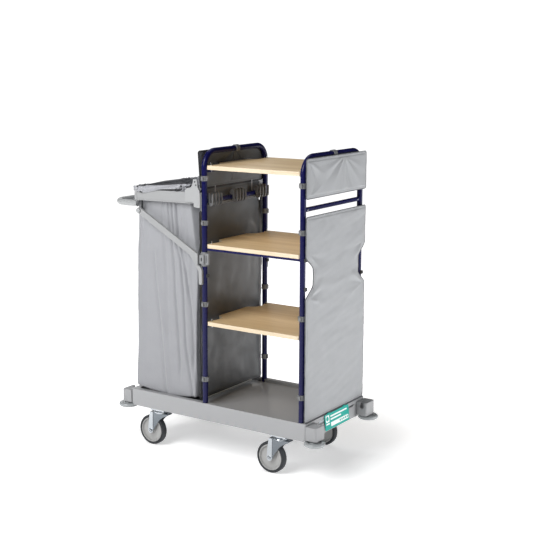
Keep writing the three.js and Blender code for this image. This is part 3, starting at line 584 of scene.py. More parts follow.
def caster_plate(label, pivot, top):
    x, y = pivot.x, pivot.y
    plate = Shape().slab("Z", rounded(x - 36, x + 36, y - 30, y + 30, 7), (top - 3.5, top))
    race = [(0, 158), (22, 158), (24, 155.5), (24, 152), (22.5, 149.9), (0, 149.9)]
    cup = Shape().lathe("Z", (x, y, 0), race)
    pin = Shape().rod("Z", x, y, 5, (135, 152))
    nut = Shape().lathe("Z", (x, y, 0), [(0, 134), (8, 134), (9, 135), (9, 137.7), (0, 137.7)], 6)
    corners = [(sx * 28, sy * 22) for sx in (-1, 1) for sy in (-1, 1)]
    holes = [Shape().rod("Z", x + u, y + v, 4, (150, 170), 20) for u, v in corners]
    solid_piece(f"swivel_plate_{label}", [plate, cup, pin, nut], ZINC,
                [f"caster_plate_{label}"], cuts=holes, width=0.6)
    bolts = Shape()
    for u, v in corners:
        head = [(0, top - 8.5), (5, top - 8.5), (6, top - 7.5), (6, top - 4), (0, top - 4)]
        bolts.lathe("Z", (x + u, y + v, 0), head, 6)
    solid_piece(f"plate_bolts_{label}", [bolts], ZINC, width=0.3, segments=2)


def fork_leg(ax, az, x):
    """The side of a fork: round about the axle, then a wing that sweeps forward under the swivel."""
    outline = arc(ax, az, 12.5, 180, 342, 14)
    outline += bow(outline[-1], (ax + 26, 88), (x + 6, 113))
    outline += bow((x + 6, 113), (x + 20, 127), (x + 44, 136))
    outline += bow((x + 44, 136), (x + 48, 139), (x + 44, 142), 6)
    return outline + [(ax - 3, 142)] + bow((ax - 3, 142), (ax - 5, 108), (ax - 12.5, az), 8)[:-1]


def fork_strap(ax, az):
    """The thicker strap of the leg, from round the axle straight up to the crown."""
    return arc(ax, az, 12.5, 180, 360, 14) + [(ax + 13, 142), (ax - 3, 142)]


def narrowed(points, y, ax):
    """Draws points in towards the fork's middle plane, more and more ahead of the axle."""
    return [(u, y + (v - y) * (1 - 0.13 * ease((u - ax - 8) / 60)), w) for u, v, w in points]


def caster_fork(label, pivot, axle):
    x, y, ax, az = pivot.x, pivot.y, axle.x, axle.z
    inner, outer, top, split = 17.5, 20.1, 142, 149.6
    web = outer - 1.5
    shape = Shape().slab("Y", fork_leg(ax, az, x), (y - web, y + web))
    shape.points = narrowed(shape.points, y, ax)
    fork = link(f"fork_{label}", shape.mesh("fork"))
    join(fork, Shape().slab("Y", fork_strap(ax, az), (y - outer, y + outer)))
    soften(fork, 1.2, 3)
    low = [(ax - 40, az - 40), (x + 60, az - 40), (x + 60, top - 3.2), (ax - 40, top - 3.2)]
    hollow = Shape().slab("Y", low, (y - inner, y + inner))
    hollow.points = narrowed(hollow.points, y, ax)
    cut(fork, hollow)
    cup = [(0, top - 1), (26, top - 1), (28, top + 2), (28, split - 2), (26, split), (0, split)]
    join(fork, Shape().lathe("Z", (x, y, 0), cup))
    washer = [(0, 0), (9.5, 0), (9.5, 1.6), (0, 1.6)]
    nut = [(0, 0), (7.2, 0), (7.2, 4), (6.2, 5), (3.2, 5), (2.2, 3.4), (0, 3.4)]
    for side in (-1, 1):
        for profile, start, steps in ((washer, outer - 0.4, 40), (nut, outer, 6)):
            lifted = [(r, side * (start + h)) for r, h in profile]
            join(fork, Shape().lathe("Y", (ax, y, az), lifted, steps))
    join(fork, Shape().rod("Y", ax, az, AXLE_R, (y - outer, y + outer)))
    cut(fork, Shape().rod("Z", x, y, 5.1, (top - 10, split + 5)))
    soften(fork, 0.5, 2)
    finish_piece(fork, ZINC, [f"caster_fork_{label}"], f"swivel_{label}")
    # Faces of the wing, ahead of the strap, take the darker zinc: a painted dark reflection.
    fork.data.materials.append(ZINC_PAINTED_REFLECTION)
    for face in fork.data.polygons:
        u, v, w = (c / MM for c in face.center)
        face.material_index = 1 if u > ax + 13.2 and abs(v - y) < outer - 0.8 and w < top + 3 else 0


def wheel(label, axle):
    """Hub and tyre turned about Y, with the hub's ribs and the tyre's rounded tread."""
    face = [(5.1, 16), (11.5, 16), (12.5, 15), (14.5, 7), (17, 5.4), (43, 5.4), (45.4, 6.4),
            (47, 12.2), (47.8, 13.6), (50.4, 13.6), (51.4, 12.4)]
    profile = face + [(r, -h) for r, h in reversed(face)]
    hub_shape = Shape().lathe("Y", axle, profile)
    solid_piece(f"hub_{label}", [hub_shape], HUB, [f"wheel_hub_{label}"],
                body=f"wheel_{label}", width=0)
    w = TYRE_W / 2
    half = [(52.2, w - 3.4), (53, w - 1.2), (55.2, w - 0.3)] + arc(WHEEL_R - 6.5, w - 6.5, 6.5, 78, 12, 7)
    tread = half + [(WHEEL_R, 4)]
    profile = tread + [(r, -h) for r, h in reversed(tread)]
    solid_piece(f"tyre_{label}", [Shape().lathe("Y", axle, profile, 96)], TYRE,
                [f"wheel_tyre_{label}"], body=f"wheel_{label}", width=0)


# ---- arches and shelves -------------------------------------------------------------------
CLIP_HEIGHTS = (1131, 957, 633, 329)
SHELF_T = 16


def arch_route(x):
    left = [(x, -ARCH_Y, ARCH_FOOT), (x, -ARCH_Y, 600)]
    bend = arc(-ARCH_Y + ARCH_BEND, ARCH_TOP - ARCH_BEND, ARCH_BEND, 180, 90, 20)
    route = left + [(x, y, z) for y, z in bend] + [(x, 0, ARCH_TOP)]
    return route + [(px, -py, pz) for px, py, pz in reversed(route[:-1])]


def shelf_top_z(name):
    return node_box(f"shelf_{name}")[1].z


def arch(end_name):
    x = ARCH_X[end_name]
    tube = link(f"arch_tube_{end_name}", Shape().sweep(arch_route(x), TUBE_R, steps=40).mesh("tube"))
    for name in SHELVES:
        top = shelf_top_z(name) - SHELF_T - 0.3
        rail = Shape().slab("X", rounded(-ARCH_Y, ARCH_Y, top - 12, top, 1.5, 3), (x - 4, x + 4))
        join(tube, rail)
    soften(tube, 0)
    finish_piece(tube, NAVY, [f"arch_{end_name}"])


def crossbar(end_name):
    lo, hi = node_box(f"crossbar_{end_name}")
    reach = ARCH_Y - TUBE_R + 2
    bar = Shape().slab("Y", rounded(lo.x, hi.x, lo.z, hi.z, 5, 8), (-reach, reach))
    solid_piece(f"flat_bar_{end_name}", [bar], NAVY, [f"crossbar_{end_name}"], width=0)
    screws = Shape()
    out = ENDS[end_name]
    face = hi.x if out > 0 else lo.x
    middle = (lo.z + hi.z) / 2
    for side in SIDES.values():
        head = [(0, 0), (4.2, 0), (4.2, 0.8), (3, 2), (0, 2.2)]
        screws.lathe("X", (face, side * (ARCH_Y - 24), middle), [(r, out * h) for r, h in head], 24)
    solid_piece(f"bar_screws_{end_name}", [screws], ZINC, width=0)


def tube_clips(end_name):
    """Grey collars that button the covers to the tubes, with a tab on the outside."""
    x = ARCH_X[end_name]
    for side_name, side in SIDES.items():
        for k, z in enumerate(CLIP_HEIGHTS):
            y = side * ARCH_Y
            band = [(TUBE_R + 0.1, -10), (13, -10), (13.8, -9), (13.8, -4), (13.2, -3.4)]
            band += [(r, -h) for r, h in reversed(band)]
            ring = Shape().lathe("Z", (x, y, z), band, 40)
            tab_y = sorted((side * (ARCH_Y + 12), side * (ARCH_Y + 19)))
            tab = Shape().slab("Z", rounded(x - 5, x + 5, *tab_y, 2, 3), (z - 7, z + 7))
            inward = -ENDS[end_name]
            tongue_x = sorted((x + inward * 12, x + inward * 17))
            tongue = Shape().slab("Z", rounded(*tongue_x, y - 5, y + 5, 2, 3), (z - 8, z + 8))
            solid_piece(f"tube_clip_{side_name}_{end_name}_{k + 1}", [ring, tab, tongue], CLIP,
                        width=0.5, segments=2)


def top_clip(end_name):
    node = f"top_clip_{end_name}"
    lo, hi = node_box(node)
    x, z = ARCH_X[end_name], ARCH_TOP
    outer = Shape().rod("Y", x, z, TUBE_R + 3.5, (lo.y, hi.y), 48)
    bore = Shape().rod("Y", x, z, TUBE_R + 0.1, (lo.y - 5, hi.y + 5), 48)
    mouth = Shape().box((x - 8, x + 8), (lo.y - 5, hi.y + 5), (z - 20, z - 6))
    grooves = [Shape().box((x - 20, x + 20), (y - 1, y + 1), (z + TUBE_R + 2.6, z + 30)) for y in (-5, 5)]
    solid_piece(f"saddle_clip_{end_name}", [outer], CLIP, [node],
                cuts=[bore, mouth, *grooves], width=0.6)


def shelf_outline(half, edge):
    """A quarter at a time: a corner clear of the tube, a dip, and a tongue between the tubes."""
    corner, dip, tongue = half - TUBE_R - 2, half - TUBE_R - 11, half + 15
    quarter = [(tongue, 0), (tongue, 86)]
    quarter += bow((tongue, 86), (tongue, 103), (half + 3, 109), 8)
    quarter += bow((half + 3, 109), (corner - 4, 115), (dip, 134), 8)
    quarter += [(dip, 156)]
    quarter += bow((dip, 156), (dip, 174), (corner, 184), 8)
    quarter += [(corner, edge - 6)] + arc(corner - 6, edge - 6, 6, 10, 90, 6)
    mirrored = [(-u, v) for u, v in reversed(quarter)]
    upper = quarter + mirrored[:-1]
    return upper + [(-u, -v) for u, v in upper]


def shelf(name):
    lo, hi = node_box(f"shelf_{name}")
    middle = (ARCH_X["left"] + ARCH_X["right"]) / 2
    half = (ARCH_X["right"] - ARCH_X["left"]) / 2
    outline = [(middle + u, v) for u, v in shelf_outline(half, hi.y)]
    board = solid_piece(f"board_{name}", [Shape().slab("Z", outline, (lo.z, hi.z))], WOOD,
                        [f"shelf_{name}"], width=0.9, segments=2)
    board.data.materials.append(EDGE)
    for face in board.data.polygons:
        face.material_index = 0 if abs(face.normal.z) > 0.5 else 1
    pins = Shape()
    for end_name, end in ENDS.items():
        for side in SIDES.values():
            at = (ARCH_X[end_name] - end * (TUBE_R + 9), side * (ARCH_Y - 18))
            head = [(0, hi.z + 9), (2.4, hi.z + 9), (3.2, hi.z + 8), (3.2, hi.z + 0.3)]
            head += [(5.2, hi.z + 0.3), (5.2, hi.z - 1), (0, hi.z - 1)]
            foot = [(0, lo.z + 1), (5.5, lo.z + 1), (5.5, lo.z - 5)]
            foot += [(3, lo.z - 5), (3, lo.z - 10), (0, lo.z - 10)]
            pins.lathe("Z", (*at, 0), head, 20)
            pins.lathe("Z", (*at, 0), foot, 6)
    solid_piece(f"shelf_pins_{name}", [pins], ZINC, width=0.3, segments=2)


def tie_bar(side_name):
    node = f"tie_bar_{side_name}"
    lo, hi = node_box(node)
    bar = Shape().slab("Y", [(lo.x, lo.z), (hi.x, lo.z), (hi.x, hi.z), (lo.x, hi.z)], (lo.y, hi.y))
    solid_piece(f"edge_bar_{side_name}", [bar], NAVY, [node], width=1)


# ---- fabric covers ------------------------------------------------------------------------
def ease(t):
    t = max(0.0, min(1.0, t))
    return t * t * (3 - 2 * t)


def bell(x, centre, width):
    return math.exp(-((x - centre) / width) ** 2)


def cloud(x, y, z, size, seed=0.0):
    """Smooth random relief from -1 to 1 with lumps of about the given size."""
    return noise.noise(Vector((x / size + seed, y / size - seed, z / size + 2 * seed)))


def stations(low, high, step, corner):
    """Places along an edge, closer together over the round corners at its ends."""
    turn = [corner * (1 - math.cos(math.radians(a))) for a in range(0, 90, 15)]
    count = max(2, round((high - low - 2 * corner) / step))
    middle = [low + corner + (high - low - 2 * corner) * k / count for k in range(count + 1)]
    return [low + t for t in turn] + middle + [high - t for t in reversed(turn)]


COVER_CORNER = 9
COVER_STEP = 4.5
COVER_THICK = 7
SEAM_INSET = 9


class Cover:
    """A padded board cover: two skins over a stiff core, bound with piping round the edge."""

    def __init__(self, name, x, y, z, thickness, facing, ripple, cut_in=None, edge=None):
        self.name, self.x, self.y, self.z, self.thickness = name, x, y, z, thickness
        self.facing, self.ripple = facing, ripple
        self.cut_in = cut_in or (lambda side, z: 0.0)
        self.edge = edge or (lambda side, z: 0.0)

    def half_width(self, side, z):
        inset = 0.0
        for gap in (z - self.z[0], self.z[1] - z):
            if gap < COVER_CORNER:
                inset += COVER_CORNER - math.sqrt(max(0.0, COVER_CORNER ** 2 - (COVER_CORNER - gap) ** 2))
        return self.y - inset - self.cut_in(side, z) + self.edge(side, z)

    def build(self, skin, piping, nodes, slot, painted_shade_fabric=None, trim_r=2.0):
        rows = stations(*self.z, COVER_STEP, COVER_CORNER)
        columns = sorted(set([-1.0, -0.985, 0.985, 1.0] + [k / 48 for k in range(-47, 48)]))
        points, seams = {}, {}
        for i, z in enumerate(rows):
            for j, t in enumerate(columns):
                width = self.half_width(-1 if t < 0 else 1, z)
                y = t * width
                rim = min(width - abs(y), z - self.z[0], self.z[1] - z)
                swell = 0.3 + 0.7 * ease(rim / 16)
                base = self.x + self.facing * self.ripple(y, z, rim)
                for face in (1, -1):
                    puff = self.thickness / 2 * swell + 0.5 * ease(rim / 25) * cloud(0, y, z, 45, 3 + face)
                    points[face, i, j] = (base + face * puff, y, z)
                    seams[face, i, j] = rim / SEAM_INSET
        self.skin(points, seams, rows, columns, skin, painted_shade_fabric, nodes, slot)
        self.bind(points, len(rows), len(columns), piping, trim_r)

    def skin(self, points, seams, rows, columns, material, painted_shade_fabric, nodes, slot):
        order = sorted(points)
        index = {key: k for k, key in enumerate(order)}
        faces = []
        for face in (1, -1):
            for i in range(len(rows) - 1):
                for j in range(len(columns) - 1):
                    quad = [(i, j), (i, j + 1), (i + 1, j + 1), (i + 1, j)]
                    faces.append([index[(face, *q)] for q in (quad if face > 0 else quad[::-1])])
        rim = self.rim(len(rows), len(columns))
        for here, there in zip(rim, rim[1:] + rim[:1]):
            faces.append([index[(1, *there)], index[(1, *here)], index[(-1, *here)], index[(-1, *there)]])
        mesh = bpy.data.meshes.new(self.name)
        mesh.from_pydata([[c * MM for c in points[key]] for key in order], [], faces)
        seam = mesh.attributes.new("seam", "FLOAT", "POINT")
        seam.data.foreach_set("value", [seams[key] for key in order])
        mesh.shade_smooth()
        piece = link(self.name, mesh)
        finish_piece(piece, material, nodes)
        # Faces turned away from the cover's facing take the darker fabric: painted shade on the inner skin.
        if painted_shade_fabric:
            mesh.materials.append(painted_shade_fabric)
            for face in mesh.polygons:
                face.material_index = 1 if face.normal.x * self.facing < -0.2 else 0

    @staticmethod
    def rim(rows, columns):
        bottom = [(0, j) for j in range(columns)]
        right = [(i, columns - 1) for i in range(1, rows)]
        top = [(rows - 1, j) for j in range(columns - 2, -1, -1)]
        left = [(i, 0) for i in range(rows - 2, 0, -1)]
        return bottom + right + top + left

    def bind(self, points, rows, columns, material, radius):
        route = []
        for i, j in self.rim(rows, columns):
            point = (Vector(points[1, i, j]) + Vector(points[-1, i, j])) / 2
            if not route or (point - route[-1]).length > 1.5:
                route.append(point)
        if (route[0] - route[-1]).length < 1.5:
            route.pop()
        cord(f"{self.name}_piping", route, radius, 10, material)


SCALLOP_Z, SCALLOP_HALF, SCALLOP_DEPTH = 787, 92, 53


def hand_hold(_side, z):
    """How far the lower right cover is cut in at a height, the same on both sides."""
    return SCALLOP_DEPTH * (1 - ease((abs(z - SCALLOP_Z) / SCALLOP_HALF - 0.3) / 0.62))


def wavy_edge(seed, size):
    """An edge that wanders: how far out it is on a side at a height."""
    def offset(side, z):
        return size * cloud(side * 50, 0, z, 38, seed) + 0.5 * size * cloud(side * 50, 0, z, 13, seed)
    return offset


def fan(y, z, y0, z0, rays, reach):
    """Tension folds that spread from a point: each ray is (degrees, width in degrees, height)."""
    away = math.hypot(y - y0, z - z0)
    angle = math.degrees(math.atan2(z - z0, y - y0))
    near = ease(away / 25) * (1 - ease((away - reach * 0.35) / (reach * 0.65)))
    return near * sum(high * bell(angle, at, width) for at, width, high in rays)


def upper_right_ripple(y, z, rim):
    top, clear = node_box("cover_right_upper")[1].z, ease(rim / 22)
    folds = fan(y, z, 45, top - 6, [(-160, 6, 3.4), (-146, 5, -2.2), (-128, 7, 3.0), (-104, 6, -2.4),
                                    (-84, 7, 2.8), (-62, 6, -2.2), (-42, 7, 3.2), (-22, 6, 2.0)], 210)
    folds += fan(y, z, -205, top - 12, [(-28, 8, 2.2), (-52, 8, -1.8)], 150)
    folds += fan(y, z, -200, top - 140, [(24, 8, 2.0), (55, 9, -1.5)], 140)
    return clear * (folds + 1.6 * cloud(1, y, z, 90, 2))


def lower_right_ripple(y, z, rim):
    clear = ease(rim / 20)
    drift = z - 0.22 * y
    folds = 2.2 * cloud(0, y * 0.45, drift * 1.6, 95, 5) + 1.1 * cloud(0, y * 0.6, drift * 2.2, 48, 9)
    folds += 2.4 * bell(z, 742 + 0.05 * y, 16) * ease((200 - abs(y)) / 60)
    for side in SIDES.values():
        rays = [(150, 9, 3.0), (168, 7, -2.0), (196, 8, 2.4), (-164, 8, 2.4)]
        reach = fan(side * y, z, 205, 708, rays, 170)
        folds += reach + fan(side * y, z, 200, 872, [(-140, 10, 2.6), (-165, 8, -2.0)], 150)
    folds += 1.5 * cloud(0, y, z, 26, 12) * (1 - ease(rim / 60))
    return clear * folds


def upper_left_ripple(y, z, rim):
    clear = ease(rim / 25)
    rays = [(-150, 9, 4.0), (-125, 9, -3.0), (-95, 9, 4.0), (-60, 9, -3.2), (-35, 10, 3.5)]
    folds = fan(y, z, 20, 1230, rays, 230)
    return clear * (folds + 3.0 * cloud(3, y, z, 110, 6)) - 7 * bell(y, 190, 60)


def panel_edge(side, z):
    """The panel's sides wander a little. Above the flap line it is narrower, to pass the arm brackets."""
    loose = 1 - ease((z - 880) / 60)
    wide = 8 * ease((z - 840) / 50) if side > 0 else 0
    return wavy_edge(11, 5)(side, z) * loose + wide - (12.5 + wide) * ease((z - 994) / 10)


def panel_ripple(y, z, rim):
    """The inside panel hangs loose: it bellies into the bay near its back edge."""
    clear = ease(rim / 30)
    belly = -19 * bell(y, 168, 46) * (0.75 + 0.25 * math.sin(z / 105)) * (1 - ease((z - 880) / 100))
    folds = 3.2 * cloud(5, y * 1.3, z * 0.45, 85, 8) + 1.6 * cloud(5, y, z, 50, 4)
    return belly + clear * folds


def covers():
    lo, hi = node_box("cover_right_upper")
    Cover("end_cover_upper", (lo.x + hi.x) / 2, hi.y, (lo.z, hi.z), COVER_THICK, 1, upper_right_ripple,
          edge=wavy_edge(1, 1.6)).build(COVER, PIPING, ["cover_right_upper"], "cover_fabric", COVER_PAINTED_SHADE)
    lo, hi = node_box("cover_right_lower")
    Cover("end_cover_lower", (lo.x + hi.x) / 2, hi.y - 1, (lo.z + 1, hi.z), COVER_THICK, 1,
          lower_right_ripple, hand_hold, wavy_edge(7, 2.4)).build(
              COVER, PIPING, ["cover_right_lower"], "cover_fabric", COVER_PAINTED_SHADE)
    lo, hi = node_box("cover_left_upper")
    bend_z, bend_y = ARCH_TOP - ARCH_BEND, ARCH_Y - ARCH_BEND

    def taper(side, z):
        slant = 14 * (z - lo.z) / (hi.z - lo.z) - 12
        if side < 0 or z < bend_z:
            return slant
        follow = bend_y + math.sqrt((ARCH_BEND + TUBE_R) ** 2 - (z - bend_z) ** 2) - hi.y
        return min(slant, follow)

    Cover("bag_side_cover_upper", (lo.x + hi.x) / 2, hi.y, (lo.z, hi.z), COVER_THICK, -1, upper_left_ripple,
          edge=taper).build(COVER, BLACK_TRIM, ["cover_left_upper"], "cover_fabric", COVER_PAINTED_SHADE, 2.4)
    lo, hi = node_box("panel_left_lower")
    Cover("bag_side_panel", (lo.x + hi.x) / 2, hi.y, (lo.z + 2, hi.z), 6, -1, panel_ripple,
          edge=panel_edge).build(COVER, BLACK_TRIM, ["panel_left_lower"], "cover_fabric", COVER_PAINTED_SHADE, 2.2)
    lo, hi = node_box("panel_rod")
    middle = (lo + hi) / 2
    profile = [(0, lo.y), (3, lo.y), (3.8, lo.y + 1), (3.8, hi.y - 1), (3, hi.y), (0, hi.y)]
    rod = Shape().lathe("Y", (middle.x, 0, middle.z), profile, 24)
    solid_piece("hem_rod", [rod], PALE, ["panel_rod"], width=0)
    # A black strip across the gap between the panel's back edge and the back tube: painted shade that closes
    # the gap.
    band = Shape().slab("X", rounded(206, 230, 856, 1013, 4, 5), (-63, -61))
    solid_piece("panel_gap_painted_shade", [band], BLACK_TRIM, width=0.8, segments=2)


def cover_straps():
    """Light tapes between the left upper cover and the hooks, and the covers' dark toggles."""
    hem = node_box("cover_left_upper")[0].z
    x = ARCH_X["left"] - 9
    tapes = Shape()
    for y in (-128, 128):
        tapes.slab("X", rounded(y - 3, y + 3, hem - 40, hem + 6, 1, 2), (x - 1, x))
    solid_piece("cover_tapes", [tapes], HEM, width=0.3, segments=2)
    toggles = Shape()
    places = [(ARCH_X["right"] + 14, z) for z in (SCALLOP_Z - 42, SCALLOP_Z + 68)]
    places += [(ARCH_X["left"] + 14, SCALLOP_Z - 39)]
    for x, z in places:
        for side in SIDES.values():
            grip = rounded(x - 4, x + 4, z - 7, z + 7, 3, 4)
            toggles.slab("Y", grip, sorted((side * (ARCH_Y - 6), side * (ARCH_Y + 6))))
    solid_piece("cover_toggles", [toggles], DARK, width=0.8, segments=2)


# ---- hooks --------------------------------------------------------------------------------
def hook_rack(place):
    node = f"hook_rack_{place}"
    lo, hi = node_box(node)
    bar = node_box("crossbar_left")
    face, back, top = bar[1].x + 0.3, bar[0].x - 0.3, bar[1].z + 0.3
    tip, width = face + 23, (lo.y, hi.y)
    parts = [Shape().slab("Y", rounded(back - 3, face + 3, top, top + 3.5, 1, 3), width),
             Shape().slab("Y", rounded(face, face + 3, 1033, top + 3, 1, 3), width),
             Shape().slab("Y", rounded(back - 3, back, 1037, top + 3, 1, 3), width)]
    claw = [(back - 3, top)] + bow((back - 3, top), (back - 3, 1073), (face + 3, 1073), 10)
    claw += bow(claw[-1], (face + 9, 1072), (face + 10, 1062), 6) + [(face + 10, 1040)]
    claw += bow(claw[-1], (face + 10, 1033), (face + 13.5, 1033), 5)
    claw += bow(claw[-1], (tip - 6, 1033), (tip - 6, 1040), 5) + [(tip - 6, 1064)]
    claw += arc(tip - 3, 1066, 3, 180, 0, 8)
    claw += [(tip, 1036)] + bow((tip, 1036), (tip, 1021.5), (face + 11, 1021.5), 10)
    claw += bow(claw[-1], (face, 1021.5), (face, 1032), 8) + [(face, top)]
    pitch, rib = (width[1] - width[0] - 6.5) / 3, 6.5
    for k in range(4):
        start = width[0] + pitch * k
        parts.append(Shape().slab("Y", claw, (start, start + rib)))
    solid_piece(f"hooks_{place}", parts, HOOK, [node], width=0.9, segments=2)


def hook_rail():
    lo, hi = node_box("hook_rail")
    rail = Shape().slab("Y", rounded(lo.x, hi.x, lo.z, hi.z, 2, 4), (lo.y, hi.y))
    slots = []
    y = lo.y + 12
    while y + 16 < hi.y:
        slots.append(Shape().slab("X", rounded(y, y + 14, lo.z + 3, hi.z - 3, 2, 3), (hi.x - 2, hi.x + 2)))
        y += 25
    solid_piece("hook_rail_strip", [rail], CLIP, ["hook_rail"], cuts=slots,
                width=0.5, segments=2)


# ---- bag frame ----------------------------------------------------------------------------
GRIP_R = TUBE_R + 1.4
ARM_Y = (212, 226)
BRACE_TOP = (-352, 984)
BRACE_END = (-68, 826)
BRACE_Y = (224.6, 237)
CLAMP_Z = (786, 842)


def out(side, span):
    return sorted((side * span[0], side * span[1]))


def bag_arm(side_name):
    side, node = SIDES[side_name], f"bag_arm_{side_name}"
    lo, hi = node_box(node)
    x0, x1, z1 = lo.x + 1, hi.x, hi.z - 4
    z0 = z1 - 50
    profile = [(x0, z0), (-120, z0 + 4), (x1, z0 + 8), (x1, z1 + 4), (-120, z1), (x0, z1 - 4)]
    beam = Shape().slab("Y", profile, out(side, ARM_Y))
    lip = Shape().slab("Y", rounded(x0 - 1, x0 + 11, z0 + 1, z1 - 5, 2.5, 4), out(side, (212, 227.5)))
    ridge = [(x0 + 11, z0 + 1.5), (-122, z0 + 5.5), (-122, z0 + 10), (x0 + 11, z0 + 6)]
    foot_ridge = Shape().slab("Y", ridge, out(side, (220, 226.9)))
    arm = link(f"arm_{side_name}", beam.mesh("arm"))
    soften(arm, 2.5, 3)
    join(arm, lip, foot_ridge)
    soften(arm, 0.7, 2)
    finish_piece(arm, ARM_PLASTIC, [node])
    tip = (BRACE_TOP[0], BRACE_TOP[1] - 9)
    ear_profile = [(-353, z0 + 2), (-353, tip[1] + 14), (-359, tip[1] + 6)]
    ear_profile += bow((-359, tip[1] + 6), (-358, tip[1]), tip, 6)
    ear_profile += bow(tip, (-344, tip[1]), (-345, tip[1] + 14), 6) + [(-345, z0 + 2)]
    ear = Shape().slab("Y", ear_profile, out(side, (216, 222)))
    hole = Shape().rod("Y", *BRACE_TOP, 4.1, out(side, (205, 230)), 24)
    solid_piece(f"arm_ear_{side_name}", [ear], DARK, cuts=[hole], width=0.8, segments=2)


def arm_bracket(side_name):
    side, node = SIDES[side_name], f"arm_bracket_{side_name}"
    x = ARCH_X["left"]
    panel = [(-122, 1042)] + arc(-116, 1042, 6, 180, 270, 6) + [(-80, 1036), (-80, 1018), (x - 12, 1018)]
    panel += [(x - 12, 1084)] + bow((x - 12, 1084), (-58, 1088), (-61, 1100), 6) + [(-64, 1125)]
    panel += arc(-66, 1125, 2, 0, 90, 4) + arc(-80, 1125, 2, 90, 180, 4)
    panel += bow((-82, 1122), (-85, 1098), (-100, 1092), 6) + bow((-100, 1092), (-122, 1090), (-122, 1076), 8)
    face = Shape().slab("Y", panel, out(side, (226.2, 231.5)))
    root = Shape().box((-70, x - TUBE_R + 1), out(side, (207, 231)), (1016, 1072))
    collar = Shape().rod("Z", x, side * ARCH_Y, TUBE_R + 4, (1003, 1075), 48)
    bracket = link(f"bracket_{side_name}", face.mesh("bracket"))
    soften(bracket, 1.3, 3)
    join(bracket, root, collar)
    through = (990, 1090)
    cut(bracket, Shape().rod("Z", x, side * ARCH_Y, TUBE_R + 0.1, through, 48),
        Shape().box((x - 40, x + 30), out(side, (183, 206)), through),
        Shape().box((x - 6, x + 30), out(side, (183, 243)), through))
    soften(bracket, 0.6, 2)
    finish_piece(bracket, BRACKET, [node])
    dots = Shape()
    for u, v in ((-73, 1117), (-68, 1104)):
        button = [(0, side * 231), (3, side * 231), (2.6, side * 233), (0, side * 233.4)]
        dots.lathe("Y", (u, 0, v), button, 20)
    solid_piece(f"bracket_buttons_{side_name}", [dots], DARK, width=0)


def brace(side_name):
    side, node = SIDES[side_name], f"brace_{side_name}"
    (tx, tz), (ex, ez) = BRACE_TOP, BRACE_END
    slope = math.atan2(ez - tz, ex - tx)
    nx, nz = -math.sin(slope) * 12, math.cos(slope) * 12
    near_tube = ARCH_X["left"] - 18
    lean = math.degrees(slope)
    outline = [(ex + nx, ez + nz), (tx + nx, tz + nz)] + arc(tx, tz, 12, lean + 90, lean + 270, 16)
    outline += [(-99, 829)] + bow((-99, 829), (-72, 802), (-55, 764), 14) + [(-53, 714)]
    outline += [(-38, 714), (-38, 772)] + bow((-38, 772), (-45, 788), (near_tube, 790), 6)
    outline += [(near_tube, 838)]
    bar = link(f"brace_bar_{side_name}", Shape().slab("Y", outline, out(side, BRACE_Y)).mesh("brace"))
    soften(bar, 5.4, 6)
    cut(bar, Shape().rod("Y", tx, tz, 4.2, out(side, (200, 250)), 24))
    soften(bar, 0)
    finish_piece(bar, ARM_PLASTIC, [node])


def brace_clamp(side_name):
    side, node = SIDES[side_name], f"brace_clamp_{side_name}"
    x, (z0, z1) = ARCH_X["left"], CLAMP_Z
    sleeve = [(0, z0), (14, z0), (14, z0 + 5), (17, z0 + 7), (17, z1 - 7), (14, z1 - 5), (14, z1), (0, z1)]
    parts = [Shape().lathe("Z", (x, side * ARCH_Y, 0), sleeve, 48),
             Shape().slab("Z", rounded(x - 4, x + 26, *out(side, (215, 225)), 3, 4), (z0 + 8, z1 - 4)),
             Shape().slab("Z", rounded(x - 12, x + 10, *out(side, (223, 235)), 3, 4), (z0 + 12, z1 - 10))]
    cuts = [Shape().rod("Z", x, side * ARCH_Y, TUBE_R + 0.1, (z0 - 6, z1 + 8), 48),
            Shape().slab("Y", rounded(x + 15, x + 17.4, z0 + 16, z1 - 12, 1, 4), out(side, (200, 240)))]
    solid_piece(f"clamp_{side_name}", parts, CLAMP, [node], cuts=cuts, width=0.9)
    latch = Shape().slab("Y", rounded(x - 3, x + 1.5, z0 + 22, z1 - 20, 1.6, 3), out(side, (234, 236.2)))
    solid_piece(f"clamp_latch_{side_name}", [latch], DARK, width=0.4, segments=2)


def pivot_bolt(side_name):
    side, node = SIDES[side_name], f"pivot_bolt_{side_name}"
    x, z = BRACE_TOP
    profile = [(0, 209), (7, 209), (7, 211.7), (4, 211.7), (4, 237.4), (9.4, 237.4), (10, 238.4)]
    profile += [(10, 241.5), (9, 243.3), (5, 244), (4, 243.2), (0, 243.2)]
    knob = Shape().lathe("Y", (x, 0, z), [(r, side * h) for r, h in profile])
    solid_piece(f"knob_{side_name}", [knob], GRIP, [node], width=0)


def push_handle():
    """The handle's tube under its thin soft sleeve."""
    lo, hi = node_box("push_handle")
    x, y, z, bend = lo.x + TUBE_R, hi.y - TUBE_R, (lo.z + hi.z) / 2, 60
    half = [(hi.x, -y), (x + bend + 20, -y)] + arc(x + bend, -y + bend, bend, 270, 180, 24) + [(x, 0)]
    route = [(u, v, z) for u, v in half] + [(u, -v, z) for u, v in reversed(half[:-1])]
    solid_piece("handle", [Shape().sweep(route, GRIP_R, steps=40)], GRIP,
                ["push_handle"], width=0)


